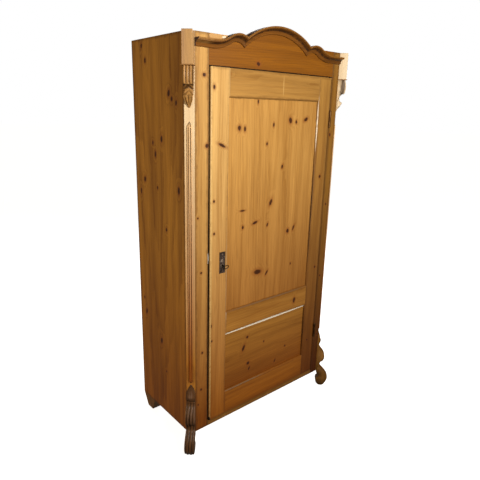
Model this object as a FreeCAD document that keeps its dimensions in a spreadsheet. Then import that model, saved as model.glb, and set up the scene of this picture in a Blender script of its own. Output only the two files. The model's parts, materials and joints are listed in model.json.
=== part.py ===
# One-door armoire in pine: a canted case on scroll feet, a framed and panelled door, an arched cornice.
# Millimetres. X runs along the front, from the lock side to the hinge side, and is 0 at the middle.
# Y runs from front to back and is 0 at the middle of the whole depth. Z is height above the floor.
import FreeCAD, Part
import os
import re
import Sketcher

Vector = FreeCAD.Vector
doc = FreeCAD.newDocument("armoire")

# ---------------------------------------------------------------- driving sizes
SIZES = {
    # case
    "case_width": 920, "case_depth": 438, "side_height": 1750, "side_thickness": 20,
    "cant_leg": 30, "frame_thickness": 22, "lock_stile_width": 68, "hinge_stile_width": 49,
    "frieze_height": 116, "bottom_rail_height": 24, "floor_thickness": 20, "roof_thickness": 20,
    "back_thickness": 14, "back_rebate": 10, "back_gap": 1, "back_plank_count": 4,
    # inside
    "shelf_thickness": 18, "shelf_drop": 330, "cleat_height": 35, "cleat_thickness": 20,
    "fit_gap": 1, "rod_radius": 14, "rod_drop": 70, "socket_radius": 24, "socket_thickness": 18,
    "stop_width": 34, "stop_thickness": 12, "stop_lap": 10, "shelf_setback": 60,
    # feet
    "foot_height": 95, "foot_rise": 250, "foot_reach": 71, "foot_lap": 0.3,
    "rear_foot_width": 72, "rear_foot_depth": 108, "rear_foot_inset": 20, "rear_toe_depth": 48,
    # cornice
    "moulding_width": 30, "moulding_reach": 27, "moulding_drop": 23, "hump_from_middle": 227,
    "hump_half": 118, "hump_rise": 34, "hump_radius": 85, "cusp_offset": 187,
    "arch_radius": 317, "arch_rise": 62, "frieze_margin": 2, "hump_sweep": 60,
    # ornaments on the cants
    "block_height": 121, "block_reach": 39, "block_inset": 0.7, "ledge_height": 3, "ledge_lip": 4,
    "console_height": 152, "console_reach": 41, "console_width": 38,
    "lancet_bottom": 263, "lancet_gap": 51, "lancet_width": 16, "lancet_thickness": 5,
    # door
    "lock_gap": 8, "hinge_gap": 3, "door_gap": 2, "door_thickness": 21.6,
    "door_lock_stile": 99, "door_hinge_stile": 84, "door_top_rail": 113, "door_middle_rail": 113,
    "door_bottom_rail": 122, "lower_panel_height": 307, "door_chamfer": 5, "door_nose": 7,
    "panel_back": 3.6, "panel_thickness": 8, "groove_depth": 9, "groove_play": 0.4, "panel_play": 1,
    # hinges
    "barrel_radius": 5.5, "barrel_stand": 0.5, "hinge_height": 76, "leaf_thickness": 1.3,
    "leaf_depth": 20, "pin_radius": 3, "pin_play": 0.05, "knuckle_play": 0.3,
    "top_hinge_drop": 234, "low_hinge_height": 245,
    # lock and key
    "lock_width": 90, "lock_height": 110, "lock_depth": 14, "lock_wall": 2, "lock_play": 0.3,
    "lock_base": 772, "cover_inset": 18, "cover_margin": 9, "cover_thickness": 2,
    "keyhole_inset": 69, "keyhole_height": 803, "keyhole_radius": 4,
    "plate_width": 32, "plate_height": 99, "plate_thickness": 2.5, "plate_base": 767,
    "bolt_height": 26, "bolt_base": 836, "bolt_thickness": 9, "bolt_throw": 12, "bolt_play": 0.4,
    "bolt_stand": 6, "head_length": 22, "tail_length": 58, "tail_height": 36,
    "strike_thickness": 2, "strike_margin": 10,
    "key_radius": 3, "key_stand": 30, "bit_length": 15, "bit_width": 8, "bit_thickness": 3,
    "bow_radius": 11, "bow_wire": 2, "bow_turn": 30,
    # fasteners
    "screw_radius": 1.7, "screw_head": 3.2, "screw_length": 14, "nail_radius": 1.2, "nail_stop": 2.85,
}
sheet = doc.addObject("Spreadsheet::Sheet", "Sizes")
for row, (name, value) in enumerate(SIZES.items(), 1):
    sheet.set("A%d" % row, name)
    sheet.set("B%d" % row, str(value))
    sheet.setAlias("B%d" % row, name)
doc.recompute()

# ---------------------------------------------------------------- sizes that follow from those
# How far a scroll foot's toe stands in front of the case, and where the case's front face then lies.
CANT_WIDTH = "cant_leg*sqrt(2)"
FOOT_WIDTH = "(%s + 2*foot_lap)" % CANT_WIDTH
BLOCK_WIDTH = "(%s - 2*block_inset)" % CANT_WIDTH
TOE = "((foot_reach + %s/2)*sin(45) - cant_leg/2)" % FOOT_WIDTH
FRONT = "(%s - case_depth)/2" % TOE
HALF_FACE = "(case_width/2 - cant_leg)"
SIDE_TOP = "(foot_height + side_height)"
INNER_HALF = "(case_width/2 - side_thickness)"
BACK_FACE = "(case_depth - back_thickness)"
OPEN_LEFT = "(lock_stile_width - %s)" % HALF_FACE
OPEN_RIGHT = "(%s - hinge_stile_width)" % HALF_FACE
OPEN_BASE = "(foot_height + bottom_rail_height)"
OPEN_TOP = "(%s - frieze_height)" % SIDE_TOP
SHELF_BASE = "(%s - shelf_drop)" % SIDE_TOP
ROD_HEIGHT = "(%s - rod_drop)" % SHELF_BASE
DOOR_LEFT = "(%s + lock_gap)" % OPEN_LEFT
DOOR_RIGHT = "(%s - hinge_gap)" % OPEN_RIGHT
DOOR_BASE = "(%s + door_gap)" % OPEN_BASE
DOOR_TOP = "(%s - door_gap)" % OPEN_TOP
PANEL_LEFT = "(%s + door_lock_stile)" % DOOR_LEFT
PANEL_RIGHT = "(%s - door_hinge_stile)" % DOOR_RIGHT
LOW_BASE = "(%s + door_bottom_rail)" % DOOR_BASE
LOW_TOP = "(%s + lower_panel_height)" % LOW_BASE
HIGH_BASE = "(%s + door_middle_rail)" % LOW_TOP
HIGH_TOP = "(%s - door_top_rail)" % DOOR_TOP
PANEL_FRONT = "(door_thickness - panel_back - panel_thickness)"
GROOVE_BACK = "(door_thickness - panel_back)"
KEY_X = "(%s + keyhole_inset)" % DOOR_LEFT
KEY_Z = "(foot_height + keyhole_height)"
LOCK_FRONT = "(door_thickness - lock_depth)"
LOCK_BASE = "(foot_height + lock_base)"
BOLT_BASE = "(foot_height + bolt_base)"
BOLT_FRONT = "(%s + (lock_depth - lock_wall - bolt_thickness)/2)" % LOCK_FRONT
HINGE_X = "((%s + %s)/2)" % (DOOR_RIGHT, OPEN_RIGHT)
HINGE_Y = "(-barrel_radius - barrel_stand)"
HINGES = [("upper", "(%s - top_hinge_drop)" % OPEN_TOP), ("lower", "(foot_height + low_hinge_height)")]


def sized(text):
    """The expression with each size's name read from the sheet."""
    return re.sub(r"[a-z][a-z_]+", lambda word: "Sizes." * (word.group(0) in SIZES) + word.group(0), text)


def number(text):
    return float(sheet.evalExpression(text))


def bind(thing, **properties):
    for name, text in properties.items():
        thing.setExpression(name, sized(text))


def move(thing, x="0", y="0", z="0"):
    """Sets a piece's place: x and z from the middle of the floor, y from the case's front face."""
    for axis, text in (("x", x), ("y", y), ("z", z)):
        thing.setExpression("Placement.Base." + axis, sized(text))


pieces = []


def keep(thing, label, x="0", y="0", z="0"):
    """Names a finished piece and puts it in its place on the case."""
    thing.Label = label
    move(thing, x, "%s + %s" % (y, FRONT), z)
    pieces.append(thing)
    return thing


def box(x, y, z, length, width, height):
    block = doc.addObject("Part::Box", "board")
    bind(block, Length=length, Width=width, Height=height)
    move(block, x, y, z)
    return block


def board(label, x, y, z, length, width, height):
    return keep(box(x, y, z, length, width, height), label, x, y, z)


def rod(x, y, z, radius, length, axis=Vector(0, 0, 1)):
    bar = doc.addObject("Part::Cylinder", "rod")
    bind(bar, Radius=radius, Height=length)
    bar.Placement.Rotation = FreeCAD.Rotation(Vector(0, 0, 1), axis)
    move(bar, x, y, z)
    return bar


def group(kind, shapes):
    joined = doc.addObject(kind, "group")
    setattr(joined, "Links" if kind == "Part::Compound" else "Shapes", shapes)
    return joined


def cut(blank, *tools):
    carved = doc.addObject("Part::Cut", "cut")
    carved.Base = blank
    carved.Tool = tools[0] if len(tools) == 1 else group("Part::MultiFuse", list(tools))
    return carved


def mirrored(piece, label):
    """The same piece for the other side of the case."""
    twin = doc.addObject("Part::Mirroring", "mirrored")
    twin.Source = piece
    twin.Normal = Vector(1, 0, 0)
    twin.Label = label
    pieces.append(twin)
    return twin


def fix_point(sketch, shape, end, point):
    for kind, text, axis in (("DistanceX", point[0], -2), ("DistanceY", point[1], -1)):
        distance = number(text)
        if abs(distance) < 1e-9:
            sketch.addConstraint(Sketcher.Constraint("PointOnObject", shape, end, axis))
        else:
            row = sketch.addConstraint(Sketcher.Constraint(kind, -1, 1, shape, end, distance))
            sketch.setExpression("Constraints[%d]" % row, sized(text))


def outline(body, role, start, steps, closed=True):
    """A sketch on one of the body's own planes. A step is a line's end, or an arc's middle and end."""
    sketch = body.newObject("Sketcher::SketchObject", "outline")
    plane = [feature for feature in body.Origin.OriginFeatures if feature.Role == role][0]
    sketch.AttachmentSupport = [(plane, "")]
    sketch.MapMode = "FlatFace"
    ends = []
    here = start
    for step in steps:
        points = [here] + [step[i:i + 2] for i in range(0, len(step), 2)]
        places = [Vector(number(a), number(b), 0) for a, b in points]
        clockwise = len(places) == 3 and (places[1] - places[0]).cross(places[2] - places[1]).z < 0
        # A sketch holds every arc turning to the left, so one that turns right is drawn from its end.
        make = Part.Arc if len(places) == 3 else Part.LineSegment
        curve = make(*(places[::-1] if clockwise else places))
        shape = sketch.addGeometry(curve)
        first = 2 if clockwise else 1
        if ends:
            sketch.addConstraint(Sketcher.Constraint("Coincident", *ends[-1][1], shape, first))
        fix_point(sketch, shape, first, points[0])
        if len(places) == 3:
            # An arc keeps its angle: its radius stays the same share of the chord between its ends.
            radius = curve.toShape().Curve.Radius
            share = radius/(places[2] - places[0]).Length
            row = sketch.addConstraint(Sketcher.Constraint("Radius", shape, radius))
            run_x, run_y = ("(%s - (%s))" % pair for pair in zip(points[2], points[0]))
            sketch.setExpression("Constraints[%d]" % row,
                                 sized("%.9f*sqrt(%s^2 + %s^2)" % (share, run_x, run_y)))
        ends.append(((shape, first), (shape, 3 - first)))
        here = points[-1]
    if closed:
        sketch.addConstraint(Sketcher.Constraint("Coincident", *ends[-1][1], *ends[0][0]))
    else:
        fix_point(sketch, *ends[-1][1], here)
    return sketch


def new_body():
    return doc.addObject("PartDesign::Body", "piece")


def pad(body, sketch, length, both_ways=False, reverse=False):
    feature = body.newObject("PartDesign::Pad", "pad")
    feature.Profile = sketch
    feature.SideType = "Symmetric" if both_ways else "One side"
    feature.Reversed = reverse
    bind(feature, Length=length)
    return feature


def pocket(body, sketch):
    feature = body.newObject("PartDesign::Pocket", "pocket")
    feature.Profile = sketch
    feature.Type = "ThroughAll"
    feature.SideType = "Symmetric"
    return feature


def shares(points, width, height, base="0"):
    """Outline points given as shares of a piece's own width and height, above a base height."""
    steps = []
    for point in points:
        texts = []
        for index, share in enumerate(point):
            size = width if index % 2 == 0 else height
            texts.append("%s*%s%s" % (share, size, "" if index % 2 == 0 else " + " + base))
        steps.append(tuple(texts))
    return steps


# ---------------------------------------------------------------- case boards
for name, hand in (("left", -1), ("right", 1)):
    side_x = "-case_width/2" if hand < 0 else INNER_HALF
    rebate_x = "-%s - back_rebate" % INNER_HALF if hand < 0 else INNER_HALF
    blank = box(side_x, "cant_leg", "foot_height", "side_thickness", "case_depth - cant_leg", "side_height")
    rebate = box(rebate_x, BACK_FACE, "foot_height", "back_rebate", "back_thickness", "side_height")
    keep(cut(blank, rebate), "side_" + name)

# The canted corner board closes the angle between side and front at 45 degrees.
body = new_body()
corner = outline(body, "XY_Plane", ("0", "cant_leg"),
                 [("cant_leg", "0"), ("cant_leg", "frame_thickness"),
                  ("side_thickness", "cant_leg"), ("0", "cant_leg")])
pad(body, corner, "side_height")
keep(body, "corner_board_left", "-case_width/2", "0", "foot_height")
mirrored(body, "corner_board_right")

# The lock-side face stile has a mortise for the thrown bolt, let in behind the strike plate.
lock_stile = box("-" + HALF_FACE, "0", "foot_height", "lock_stile_width", "frame_thickness", "side_height")
strike_recess = box("%s - strike_thickness" % OPEN_LEFT, "0", "%s - strike_margin" % BOLT_BASE,
                    "strike_thickness", "frame_thickness", "bolt_height + 2*strike_margin")
MORTISE_DEPTH = "(bolt_throw + strike_thickness)"
bolt_mortise = box("%s - %s" % (OPEN_LEFT, MORTISE_DEPTH), "%s - 2*bolt_play" % BOLT_FRONT,
                   "%s - 2*bolt_play" % BOLT_BASE, MORTISE_DEPTH, "bolt_thickness + 4*bolt_play",
                   "bolt_height + 4*bolt_play")
keep(cut(lock_stile, strike_recess, bolt_mortise), "face_stile_left")
board("face_stile_right", OPEN_RIGHT, "0", "foot_height", "hinge_stile_width", "frame_thickness",
      "side_height")
board("bottom_rail", OPEN_LEFT, "0", "foot_height", "%s - %s" % (OPEN_RIGHT, OPEN_LEFT), "cant_leg",
      "bottom_rail_height")
board("floor_board", "-" + INNER_HALF, "cant_leg", "foot_height", "2*" + INNER_HALF,
      "%s - cant_leg" % BACK_FACE, "floor_thickness")
board("roof_board", "-" + INNER_HALF, "cant_leg", "%s - roof_thickness" % SIDE_TOP, "2*" + INNER_HALF,
      "%s - cant_leg" % BACK_FACE, "roof_thickness")

# Upright back planks lie in the rebates of the sides, a shrinkage gap apart.
BACK_WIDTH = "(2*%s + 2*back_rebate)" % INNER_HALF
for plank in range(SIZES["back_plank_count"]):
    board("back_plank_%d" % (plank + 1), "-%s - back_rebate + %d*%s/back_plank_count + back_gap/2"
          % (INNER_HALF, plank, BACK_WIDTH), BACK_FACE, "foot_height",
          "%s/back_plank_count - back_gap" % BACK_WIDTH, "back_thickness", "side_height")

# ---------------------------------------------------------------- cornice moulding and frieze
# The cornice runs level over the shoulder, sweeps up in two tangent arcs to a hump and drops to a cusp.
# A true arc then crosses the middle. Its outer edge is the path, and the section hangs below it.
SHOULDER_TOP = "(%s - moulding_drop)" % SIDE_TOP
BOTH_RADII = "((hump_half*hump_half + hump_rise*hump_rise)/(2*hump_rise))"
SWEEP_RADIUS = "(%s - hump_radius)" % BOTH_RADII
SWEEP_ANGLE = "asin(hump_half/%s)" % BOTH_RADII
SHOULDER = "(%s - hump_from_middle - hump_half)" % HALF_FACE
HUMP_X = "(%s - hump_from_middle)" % HALF_FACE
ARCH_CENTRE = "(%s + arch_rise - arch_radius)" % SIDE_TOP
MOULDING = [(0.12, 0.26, 0.24, 0.2), (0.46, 0.32, 0.7, 0.76), (0.7, 0.87), (0.8, 0.87), (0.8, 1.0),
            (1.0, 1.0), (1.0, 0), (0, 0)]


def moulding_section(body, top):
    """The cornice's section: a bead, a cove and a square top fillet. A pair is across and outward."""
    steps = []
    for step in MOULDING:
        texts = []
        for across, out in zip(step[::2], step[1::2]):
            texts += ["-%s*moulding_reach" % out, "%s + (%s - 1)*moulding_width" % (top, across)]
        steps.append(tuple(texts))
    return outline(body, "YZ_Plane", ("0", "%s - moulding_width" % top), steps)


def trim(body, left, low, right, high):
    """Cuts away whatever stands in a rectangle seen from the front."""
    window = outline(body, "XZ_Plane", (left, low), [(right, low), (right, high), (left, high), (left, low)])
    pocket(body, window)


shoulder = new_body()
section = moulding_section(shoulder, "0")
path = outline(shoulder, "XZ_Plane", ("0", "0"), [
    (SHOULDER, "0"),
    ("%s + %s*sin(%s/2)" % (SHOULDER, SWEEP_RADIUS, SWEEP_ANGLE),
     "%s*(1 - cos(%s/2))" % (SWEEP_RADIUS, SWEEP_ANGLE),
     "%s + hump_half*%s/%s" % (SHOULDER, SWEEP_RADIUS, BOTH_RADII),
     "hump_rise*%s/%s" % (SWEEP_RADIUS, BOTH_RADII)),
    (HUMP_X, "hump_rise", "%s + hump_radius*sin(hump_sweep)" % HUMP_X,
     "hump_rise - hump_radius*(1 - cos(hump_sweep))")], closed=False)
run = shoulder.newObject("PartDesign::AdditivePipe", "run")
run.Profile = section
run.Spine = path
doc.recompute()
trim(shoulder, "%s - cusp_offset" % HALF_FACE, "-2*hump_radius", "2*%s" % HALF_FACE, "2*hump_radius")
keep(shoulder, "cornice_moulding_left", "-" + HALF_FACE, "0", SHOULDER_TOP)
mirrored(shoulder, "cornice_moulding_right")

arch = new_body()
section = moulding_section(arch, "arch_radius")
turn = arch.newObject("PartDesign::Revolution", "turn")
turn.Profile = section
turn.ReferenceAxis = ([axis for axis in arch.Origin.OriginFeatures if axis.Role == "Y_Axis"][0], [""])
turn.Midplane = True
# The turn runs a little past both cusps, where the trims below cut it off upright.
PAST_THE_CUSPS = 2.1
bind(turn, Angle="%s*asin(cusp_offset/(arch_radius - moulding_width))" % PAST_THE_CUSPS)
doc.recompute()
for near, far in (("cusp_offset", "arch_radius"), ("-arch_radius", "-cusp_offset")):
    trim(arch, near, "0", far, "2*arch_radius")
keep(arch, "cornice_moulding_arch", "0", "0", ARCH_CENTRE)

# The frieze's top edge follows the cornice, a margin inside its outer edge.
EDGE_RADIUS = "(hump_radius - frieze_margin)"
HUMP_DEPTH = "(moulding_drop - hump_rise + hump_radius)"
HUMP_START = "(hump_from_middle + sqrt(%s^2 - %s^2))" % (EDGE_RADIUS, HUMP_DEPTH)
HUMP_TOP = "(frieze_height - moulding_drop + hump_rise - frieze_margin)"
ARCH_EDGE = "(arch_radius - frieze_margin)"
CUSP_TOP = "(frieze_height + arch_rise - arch_radius + sqrt(%s*%s - cusp_offset*cusp_offset))" % (
    ARCH_EDGE, ARCH_EDGE)
frieze = new_body()
pad(frieze, outline(frieze, "XZ_Plane", (OPEN_LEFT, "0"), [
    (OPEN_RIGHT, "0"), (OPEN_RIGHT, "frieze_height"), (HUMP_START, "frieze_height"),
    ("hump_from_middle", HUMP_TOP, "cusp_offset", CUSP_TOP),
    ("0", "frieze_height + arch_rise - frieze_margin", "-cusp_offset", CUSP_TOP),
    ("-hump_from_middle", HUMP_TOP, "-" + HUMP_START, "frieze_height"),
    (OPEN_LEFT, "frieze_height"), (OPEN_LEFT, "0")]), "frame_thickness", reverse=True)
keep(frieze, "frieze_board", "0", "0", OPEN_TOP)

# ---------------------------------------------------------------- ornaments and feet on the cants
CANT_X = "-case_width/2 + cant_leg/2"
CANT_Y = "cant_leg/2"
OUTWARD = FreeCAD.Rotation(Vector(0, 0, 1), 225)
ALONG = FreeCAD.Rotation(Vector(0, 0, 1), -45)


def on_cant(body, label, height, turn=OUTWARD):
    """Puts a piece on the middle of the left cant, its own X outward, and mirrors it to the right."""
    body.Placement.Rotation = turn
    keep(body, label + "_left", CANT_X, CANT_Y, height)
    mirrored(body, label + "_right")


BLOCK_BASE = "(%s - block_height)" % SIDE_TOP
block = new_body()
pad(block, outline(block, "XZ_Plane", ("0", "0"), [
    ("block_reach", "0"), ("block_reach", "block_height"), ("0", "block_height"), ("0", "0")]),
    BLOCK_WIDTH, both_ways=True)
on_cant(block, "corner_block", BLOCK_BASE)

ledge = new_body()
pad(ledge, outline(ledge, "XZ_Plane", ("0", "0"), [
    ("block_reach + ledge_lip", "0"), ("block_reach + ledge_lip", "ledge_height"), ("0", "ledge_height"),
    ("0", "0")]), "%s + 2*ledge_lip" % BLOCK_WIDTH, both_ways=True)
on_cant(ledge, "block_ledge", "%s - ledge_height" % BLOCK_BASE)

# The carved console hangs under the ledge: a fluted swell, a lip, a scroll nose and a pointed drop.
CONSOLE_BASE = "(%s - ledge_height - console_height)" % BLOCK_BASE
console = new_body()
pad(console, outline(console, "XZ_Plane", ("0", "0"), shares([
    (0.07, 0), (0.22, 0.1, 0.41, 0.18), (0.6, 0.23, 0.73, 0.3), (0.54, 0.33, 0.34, 0.41),
    (0.44, 0.5, 0.63, 0.56), (0.88, 0.56), (0.97, 0.68, 1.0, 0.81), (0.98, 0.91, 0.9, 1.0),
    (0, 1.0), (0, 0)], "console_reach", "console_height")), "console_width", both_ways=True)
on_cant(console, "console", CONSOLE_BASE)

# The lancet strip has a round foot and a pointed head, struck from two arcs.
LANCET_HEIGHT = "(%s - lancet_gap - foot_height - lancet_bottom)" % CONSOLE_BASE
HEAD_BASE = "%s - 1.6*lancet_width" % LANCET_HEIGHT
HEAD_WAIST = "%s - 0.7*lancet_width" % LANCET_HEIGHT
lancet = new_body()
lancet_outline = outline(lancet, "XZ_Plane", ("-lancet_width/2", "lancet_width/2"), [
    ("-0.354*lancet_width", "0.146*lancet_width", "0", "0"),
    ("0.354*lancet_width", "0.146*lancet_width", "lancet_width/2", "lancet_width/2"),
    ("lancet_width/2", HEAD_BASE),
    ("0.36*lancet_width", HEAD_WAIST, "0", LANCET_HEIGHT),
    ("-0.36*lancet_width", HEAD_WAIST, "-lancet_width/2", HEAD_BASE),
    ("-lancet_width/2", "lancet_width/2")])
pad(lancet, lancet_outline, "lancet_thickness")
on_cant(lancet, "lancet_strip", "foot_height + lancet_bottom", ALONG)

# The scroll foot: a pointed top on the cant, a knee, and an S curve that ends in a rolled toe on the floor.
foot = new_body()
upper = shares([(0.17, 0.87, 0.28, 0.76), (0.24, 0.71, 0.16, 0.665), (0.24, 0.6, 0.38, 0.54),
                (0.57, 0.45, 0.65, 0.36), (0.66, 0.3, 0.59, 0.25), (0.39, 0.225),
                (0.33, 0.2, 0.31, 0.165)], "foot_reach", "foot_rise", "foot_height")
lower = shares([(0.34, 1.31, 0.44, 1.19), (0.63, 1.05, 0.8, 0.89), (0.95, 0.73, 1.0, 0.54),
                (0.99, 0.38, 0.91, 0.24), (0.79, 0.07, 0.62, 0), (0.42, 0),
                (0.14, 0.1, 0.03, 0.3), (0.04, 0.42, 0.1, 0.5), (0.18, 0.6), (0.17, 0.74, 0.06, 0.83),
                (0, 1.0)], "foot_reach", "foot_height")
pad(foot, outline(foot, "XZ_Plane", ("0", "foot_height + foot_rise"),
                  upper + lower + [("0", "foot_height + foot_rise")]), FOOT_WIDTH, both_ways=True)
on_cant(foot, "foot_front", "0")

# Rear feet are tapered blocks, flush with the case at the top.
rear = doc.addObject("Part::Wedge", "rear_foot")
bind(rear, Xmin="rear_foot_inset", Xmax="rear_foot_width", X2min="0", X2max="rear_foot_width",
     Zmin="0", Zmax="rear_toe_depth", Z2min="0", Z2max="rear_foot_depth", Ymin="0", Ymax="foot_height")
rear.Placement.Rotation = FreeCAD.Rotation(Vector(1, 0, 0), 90)
keep(rear, "foot_rear_left", "-case_width/2", "case_depth", "0")
mirrored(rear, "foot_rear_right")

# ---------------------------------------------------------------- inside the case
board("hat_shelf", "-%s + fit_gap" % INNER_HALF, "shelf_setback", SHELF_BASE,
      "2*%s - 2*fit_gap" % INNER_HALF, "%s - shelf_setback - fit_gap" % BACK_FACE, "shelf_thickness")
cleat = board("shelf_cleat_left", "-" + INNER_HALF, "shelf_setback", "%s - cleat_height" % SHELF_BASE,
              "cleat_thickness", "%s - shelf_setback - fit_gap" % BACK_FACE, "cleat_height")
mirrored(cleat, "shelf_cleat_right")
ALONG_X = Vector(1, 0, 0)
ALONG_Y = Vector(0, 1, 0)
disc = rod("0", "0", "0", "socket_radius", "socket_thickness", ALONG_X)
socket = cut(disc, rod("0", "0", "0", "rod_radius + fit_gap/2", "socket_thickness", ALONG_X))
keep(socket, "rod_socket_left", "-" + INNER_HALF, "case_depth/2", ROD_HEIGHT)
mirrored(socket, "rod_socket_right")
keep(rod("0", "0", "0", "rod_radius", "2*%s - 2*fit_gap" % INNER_HALF, ALONG_X),
     "clothes_rod", "-%s + fit_gap" % INNER_HALF, "case_depth/2", ROD_HEIGHT)
board("door_stop_left", "%s + lock_gap + stop_lap - stop_width" % OPEN_LEFT, "frame_thickness", OPEN_BASE,
      "stop_width", "stop_thickness", "%s - stop_lap - %s" % (OPEN_TOP, OPEN_BASE))
board("door_stop_top", OPEN_LEFT, "frame_thickness", "%s - stop_lap" % OPEN_TOP,
      "%s - %s" % (OPEN_RIGHT, OPEN_LEFT), "stop_thickness", "stop_width")

# ---------------------------------------------------------------- door
# Frame members are grooved all along for the panels, and chamfered round each panel on the front.


def panel_chamfer(base, top):
    """The tapered block that cuts a mitred chamfer round one panel opening."""
    tool = doc.addObject("Part::Wedge", "chamfer")
    bind(tool, Xmin="%s - door_chamfer" % PANEL_LEFT, Xmax="%s + door_chamfer" % PANEL_RIGHT,
         Zmin="%s - door_chamfer" % base, Zmax="%s + door_chamfer" % top,
         X2min=PANEL_LEFT, X2max=PANEL_RIGHT, Z2min=base, Z2max=top, Ymin="0", Ymax="door_chamfer")
    return tool


chamfers = [panel_chamfer(LOW_BASE, LOW_TOP), panel_chamfer(HIGH_BASE, HIGH_TOP)]
lock_member = new_body()
pad(lock_member, outline(lock_member, "XY_Plane", ("door_nose", "0"), [
    ("door_lock_stile", "0"), ("door_lock_stile", PANEL_FRONT),
    ("door_lock_stile - groove_depth", PANEL_FRONT), ("door_lock_stile - groove_depth", GROOVE_BACK),
    ("door_lock_stile", GROOVE_BACK), ("door_lock_stile", "door_thickness"), ("0", "door_thickness"),
    ("0", "door_nose"), ("door_nose*(1 - sin(45))", "door_nose*(1 - sin(45))", "door_nose", "0")]),
    "%s - %s" % (DOOR_TOP, DOOR_BASE))
move(lock_member, DOOR_LEFT, "0", DOOR_BASE)
lock_recess = box("%s - lock_play" % DOOR_LEFT, "%s - lock_play" % LOCK_FRONT, "%s - lock_play" % LOCK_BASE,
                  "lock_width + 2*lock_play", "door_thickness", "lock_height + 2*lock_play")
key_hole = rod(KEY_X, "0", KEY_Z, "keyhole_radius", "door_thickness", ALONG_Y)
key_slot = box("%s - bit_thickness/2 - bolt_play" % KEY_X, "0", "%s - bit_length - bolt_play" % KEY_Z,
               "bit_thickness + 2*bolt_play", "door_thickness", "bit_length")
keep(cut(lock_member, lock_recess, key_hole, key_slot, *chamfers), "door_stile_left")

hinge_member = box(PANEL_RIGHT, "0", DOOR_BASE, "door_hinge_stile", "door_thickness",
                   "%s - %s" % (DOOR_TOP, DOOR_BASE))
hinge_groove = box(PANEL_RIGHT, PANEL_FRONT, DOOR_BASE, "groove_depth", "panel_thickness",
                   "%s - %s" % (DOOR_TOP, DOOR_BASE))
keep(cut(hinge_member, hinge_groove, *chamfers), "door_stile_right")


def rail(label, base, height, groove_low, groove_high):
    """A rail between the stiles, with stub tenons in their grooves and its own grooves for the panels."""
    width = "%s - %s" % (PANEL_RIGHT, PANEL_LEFT)
    blank = box(PANEL_LEFT, "0", base, width, "door_thickness", height)
    grooves = []
    for grooved, level in ((groove_low, base), (groove_high, "%s + %s - groove_depth" % (base, height))):
        if grooved:
            grooves.append(box(PANEL_LEFT, PANEL_FRONT, level, width, "panel_thickness", "groove_depth"))
    tenon_base = "%s + groove_depth*%d" % (base, groove_low)
    tenon_height = "%s - groove_depth*%d" % (height, groove_low + groove_high)
    tenon = box("%s - groove_depth + panel_play" % PANEL_LEFT, "%s + groove_play/2" % PANEL_FRONT,
                tenon_base, "%s + 2*groove_depth - 2*panel_play" % width, "panel_thickness - groove_play",
                tenon_height)
    whole = group("Part::MultiFuse", [cut(blank, *grooves), tenon])
    keep(cut(whole, *chamfers), label)


rail("door_rail_top", HIGH_TOP, "door_top_rail", True, False)
rail("door_rail_middle", LOW_TOP, "door_middle_rail", True, True)
rail("door_rail_bottom", DOOR_BASE, "door_bottom_rail", False, True)
for name, base, top in (("upper", HIGH_BASE, HIGH_TOP), ("lower", LOW_BASE, LOW_TOP)):
    board("door_panel_" + name, "%s - groove_depth + panel_play" % PANEL_LEFT,
          "%s + groove_play/2" % PANEL_FRONT, "%s - groove_depth + panel_play" % base,
          "%s - %s + 2*groove_depth - 2*panel_play" % (PANEL_RIGHT, PANEL_LEFT),
          "panel_thickness - groove_play", "%s - %s + 2*groove_depth - 2*panel_play" % (top, base))

# ---------------------------------------------------------------- hinges
# Two butt hinges stand in the gap, their barrels proud of the front. Own frame: the pin's axis, hinge foot.
AXIS_TO_FACE = "(barrel_radius + barrel_stand)"
HALF_GAP = "hinge_gap/2"
KNUCKLE = "(hinge_height - knuckle_play)/2"
SCREW_LEVELS = ["hinge_height*0.16", "hinge_height*0.5", "hinge_height*0.84"]
SCREW_DEPTH = "(%s + leaf_depth*0.6)" % AXIS_TO_FACE


def leaf(hand, knuckle_base, bore_radius):
    """One leaf with its knuckle, hand -1 for the door and 1 for the case."""
    plate_x = "-" + HALF_GAP if hand < 0 else "%s - leaf_thickness" % HALF_GAP
    plate = box(plate_x, AXIS_TO_FACE, "0", "leaf_thickness", "leaf_depth", "hinge_height")
    tab = box(plate_x, "0", knuckle_base, "leaf_thickness", AXIS_TO_FACE, KNUCKLE)
    knuckle = rod("0", "0", knuckle_base, "barrel_radius", KNUCKLE)
    bore = rod("0", "0", "0", bore_radius, "hinge_height")
    holes = [rod(plate_x, SCREW_DEPTH, level, "screw_head", "leaf_thickness", ALONG_X)
             for level in SCREW_LEVELS]
    return cut(group("Part::MultiFuse", [plate, tab, knuckle]), bore, *holes)


FINIAL_BASE = "barrel_radius*0.9"
FINIAL_TIP = "pin_radius*0.7"


def pin():
    """The hinge pin, with a turned finial at each end."""
    shank = rod("0", "0", "-knuckle_play", "pin_radius", "hinge_height + 2*knuckle_play")
    ends = []
    for level, base_radius, tip_radius in (("hinge_height + knuckle_play", FINIAL_BASE, FINIAL_TIP),
                                           ("-knuckle_play - pin_radius", FINIAL_TIP, FINIAL_BASE)):
        end = doc.addObject("Part::Cone", "finial")
        bind(end, Radius1=base_radius, Radius2=tip_radius, Height="pin_radius")
        move(end, "0", "0", level)
        ends.append(end)
    return group("Part::MultiFuse", [shank] + ends)


pins = []
for name, base in HINGES:
    door_leaf = leaf(-1, "(hinge_height + knuckle_play)/2", "pin_radius + pin_play")
    keep(door_leaf, "hinge_%s_door_leaf" % name, HINGE_X, HINGE_Y, base)
    keep(leaf(1, "0", "pin_radius"), "hinge_%s_case_leaf" % name, HINGE_X, HINGE_Y, base)
    pins.append(pin())
    move(pins[-1], HINGE_X, HINGE_Y, base)
keep(group("Part::Compound", pins), "hinge_pins")

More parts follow.
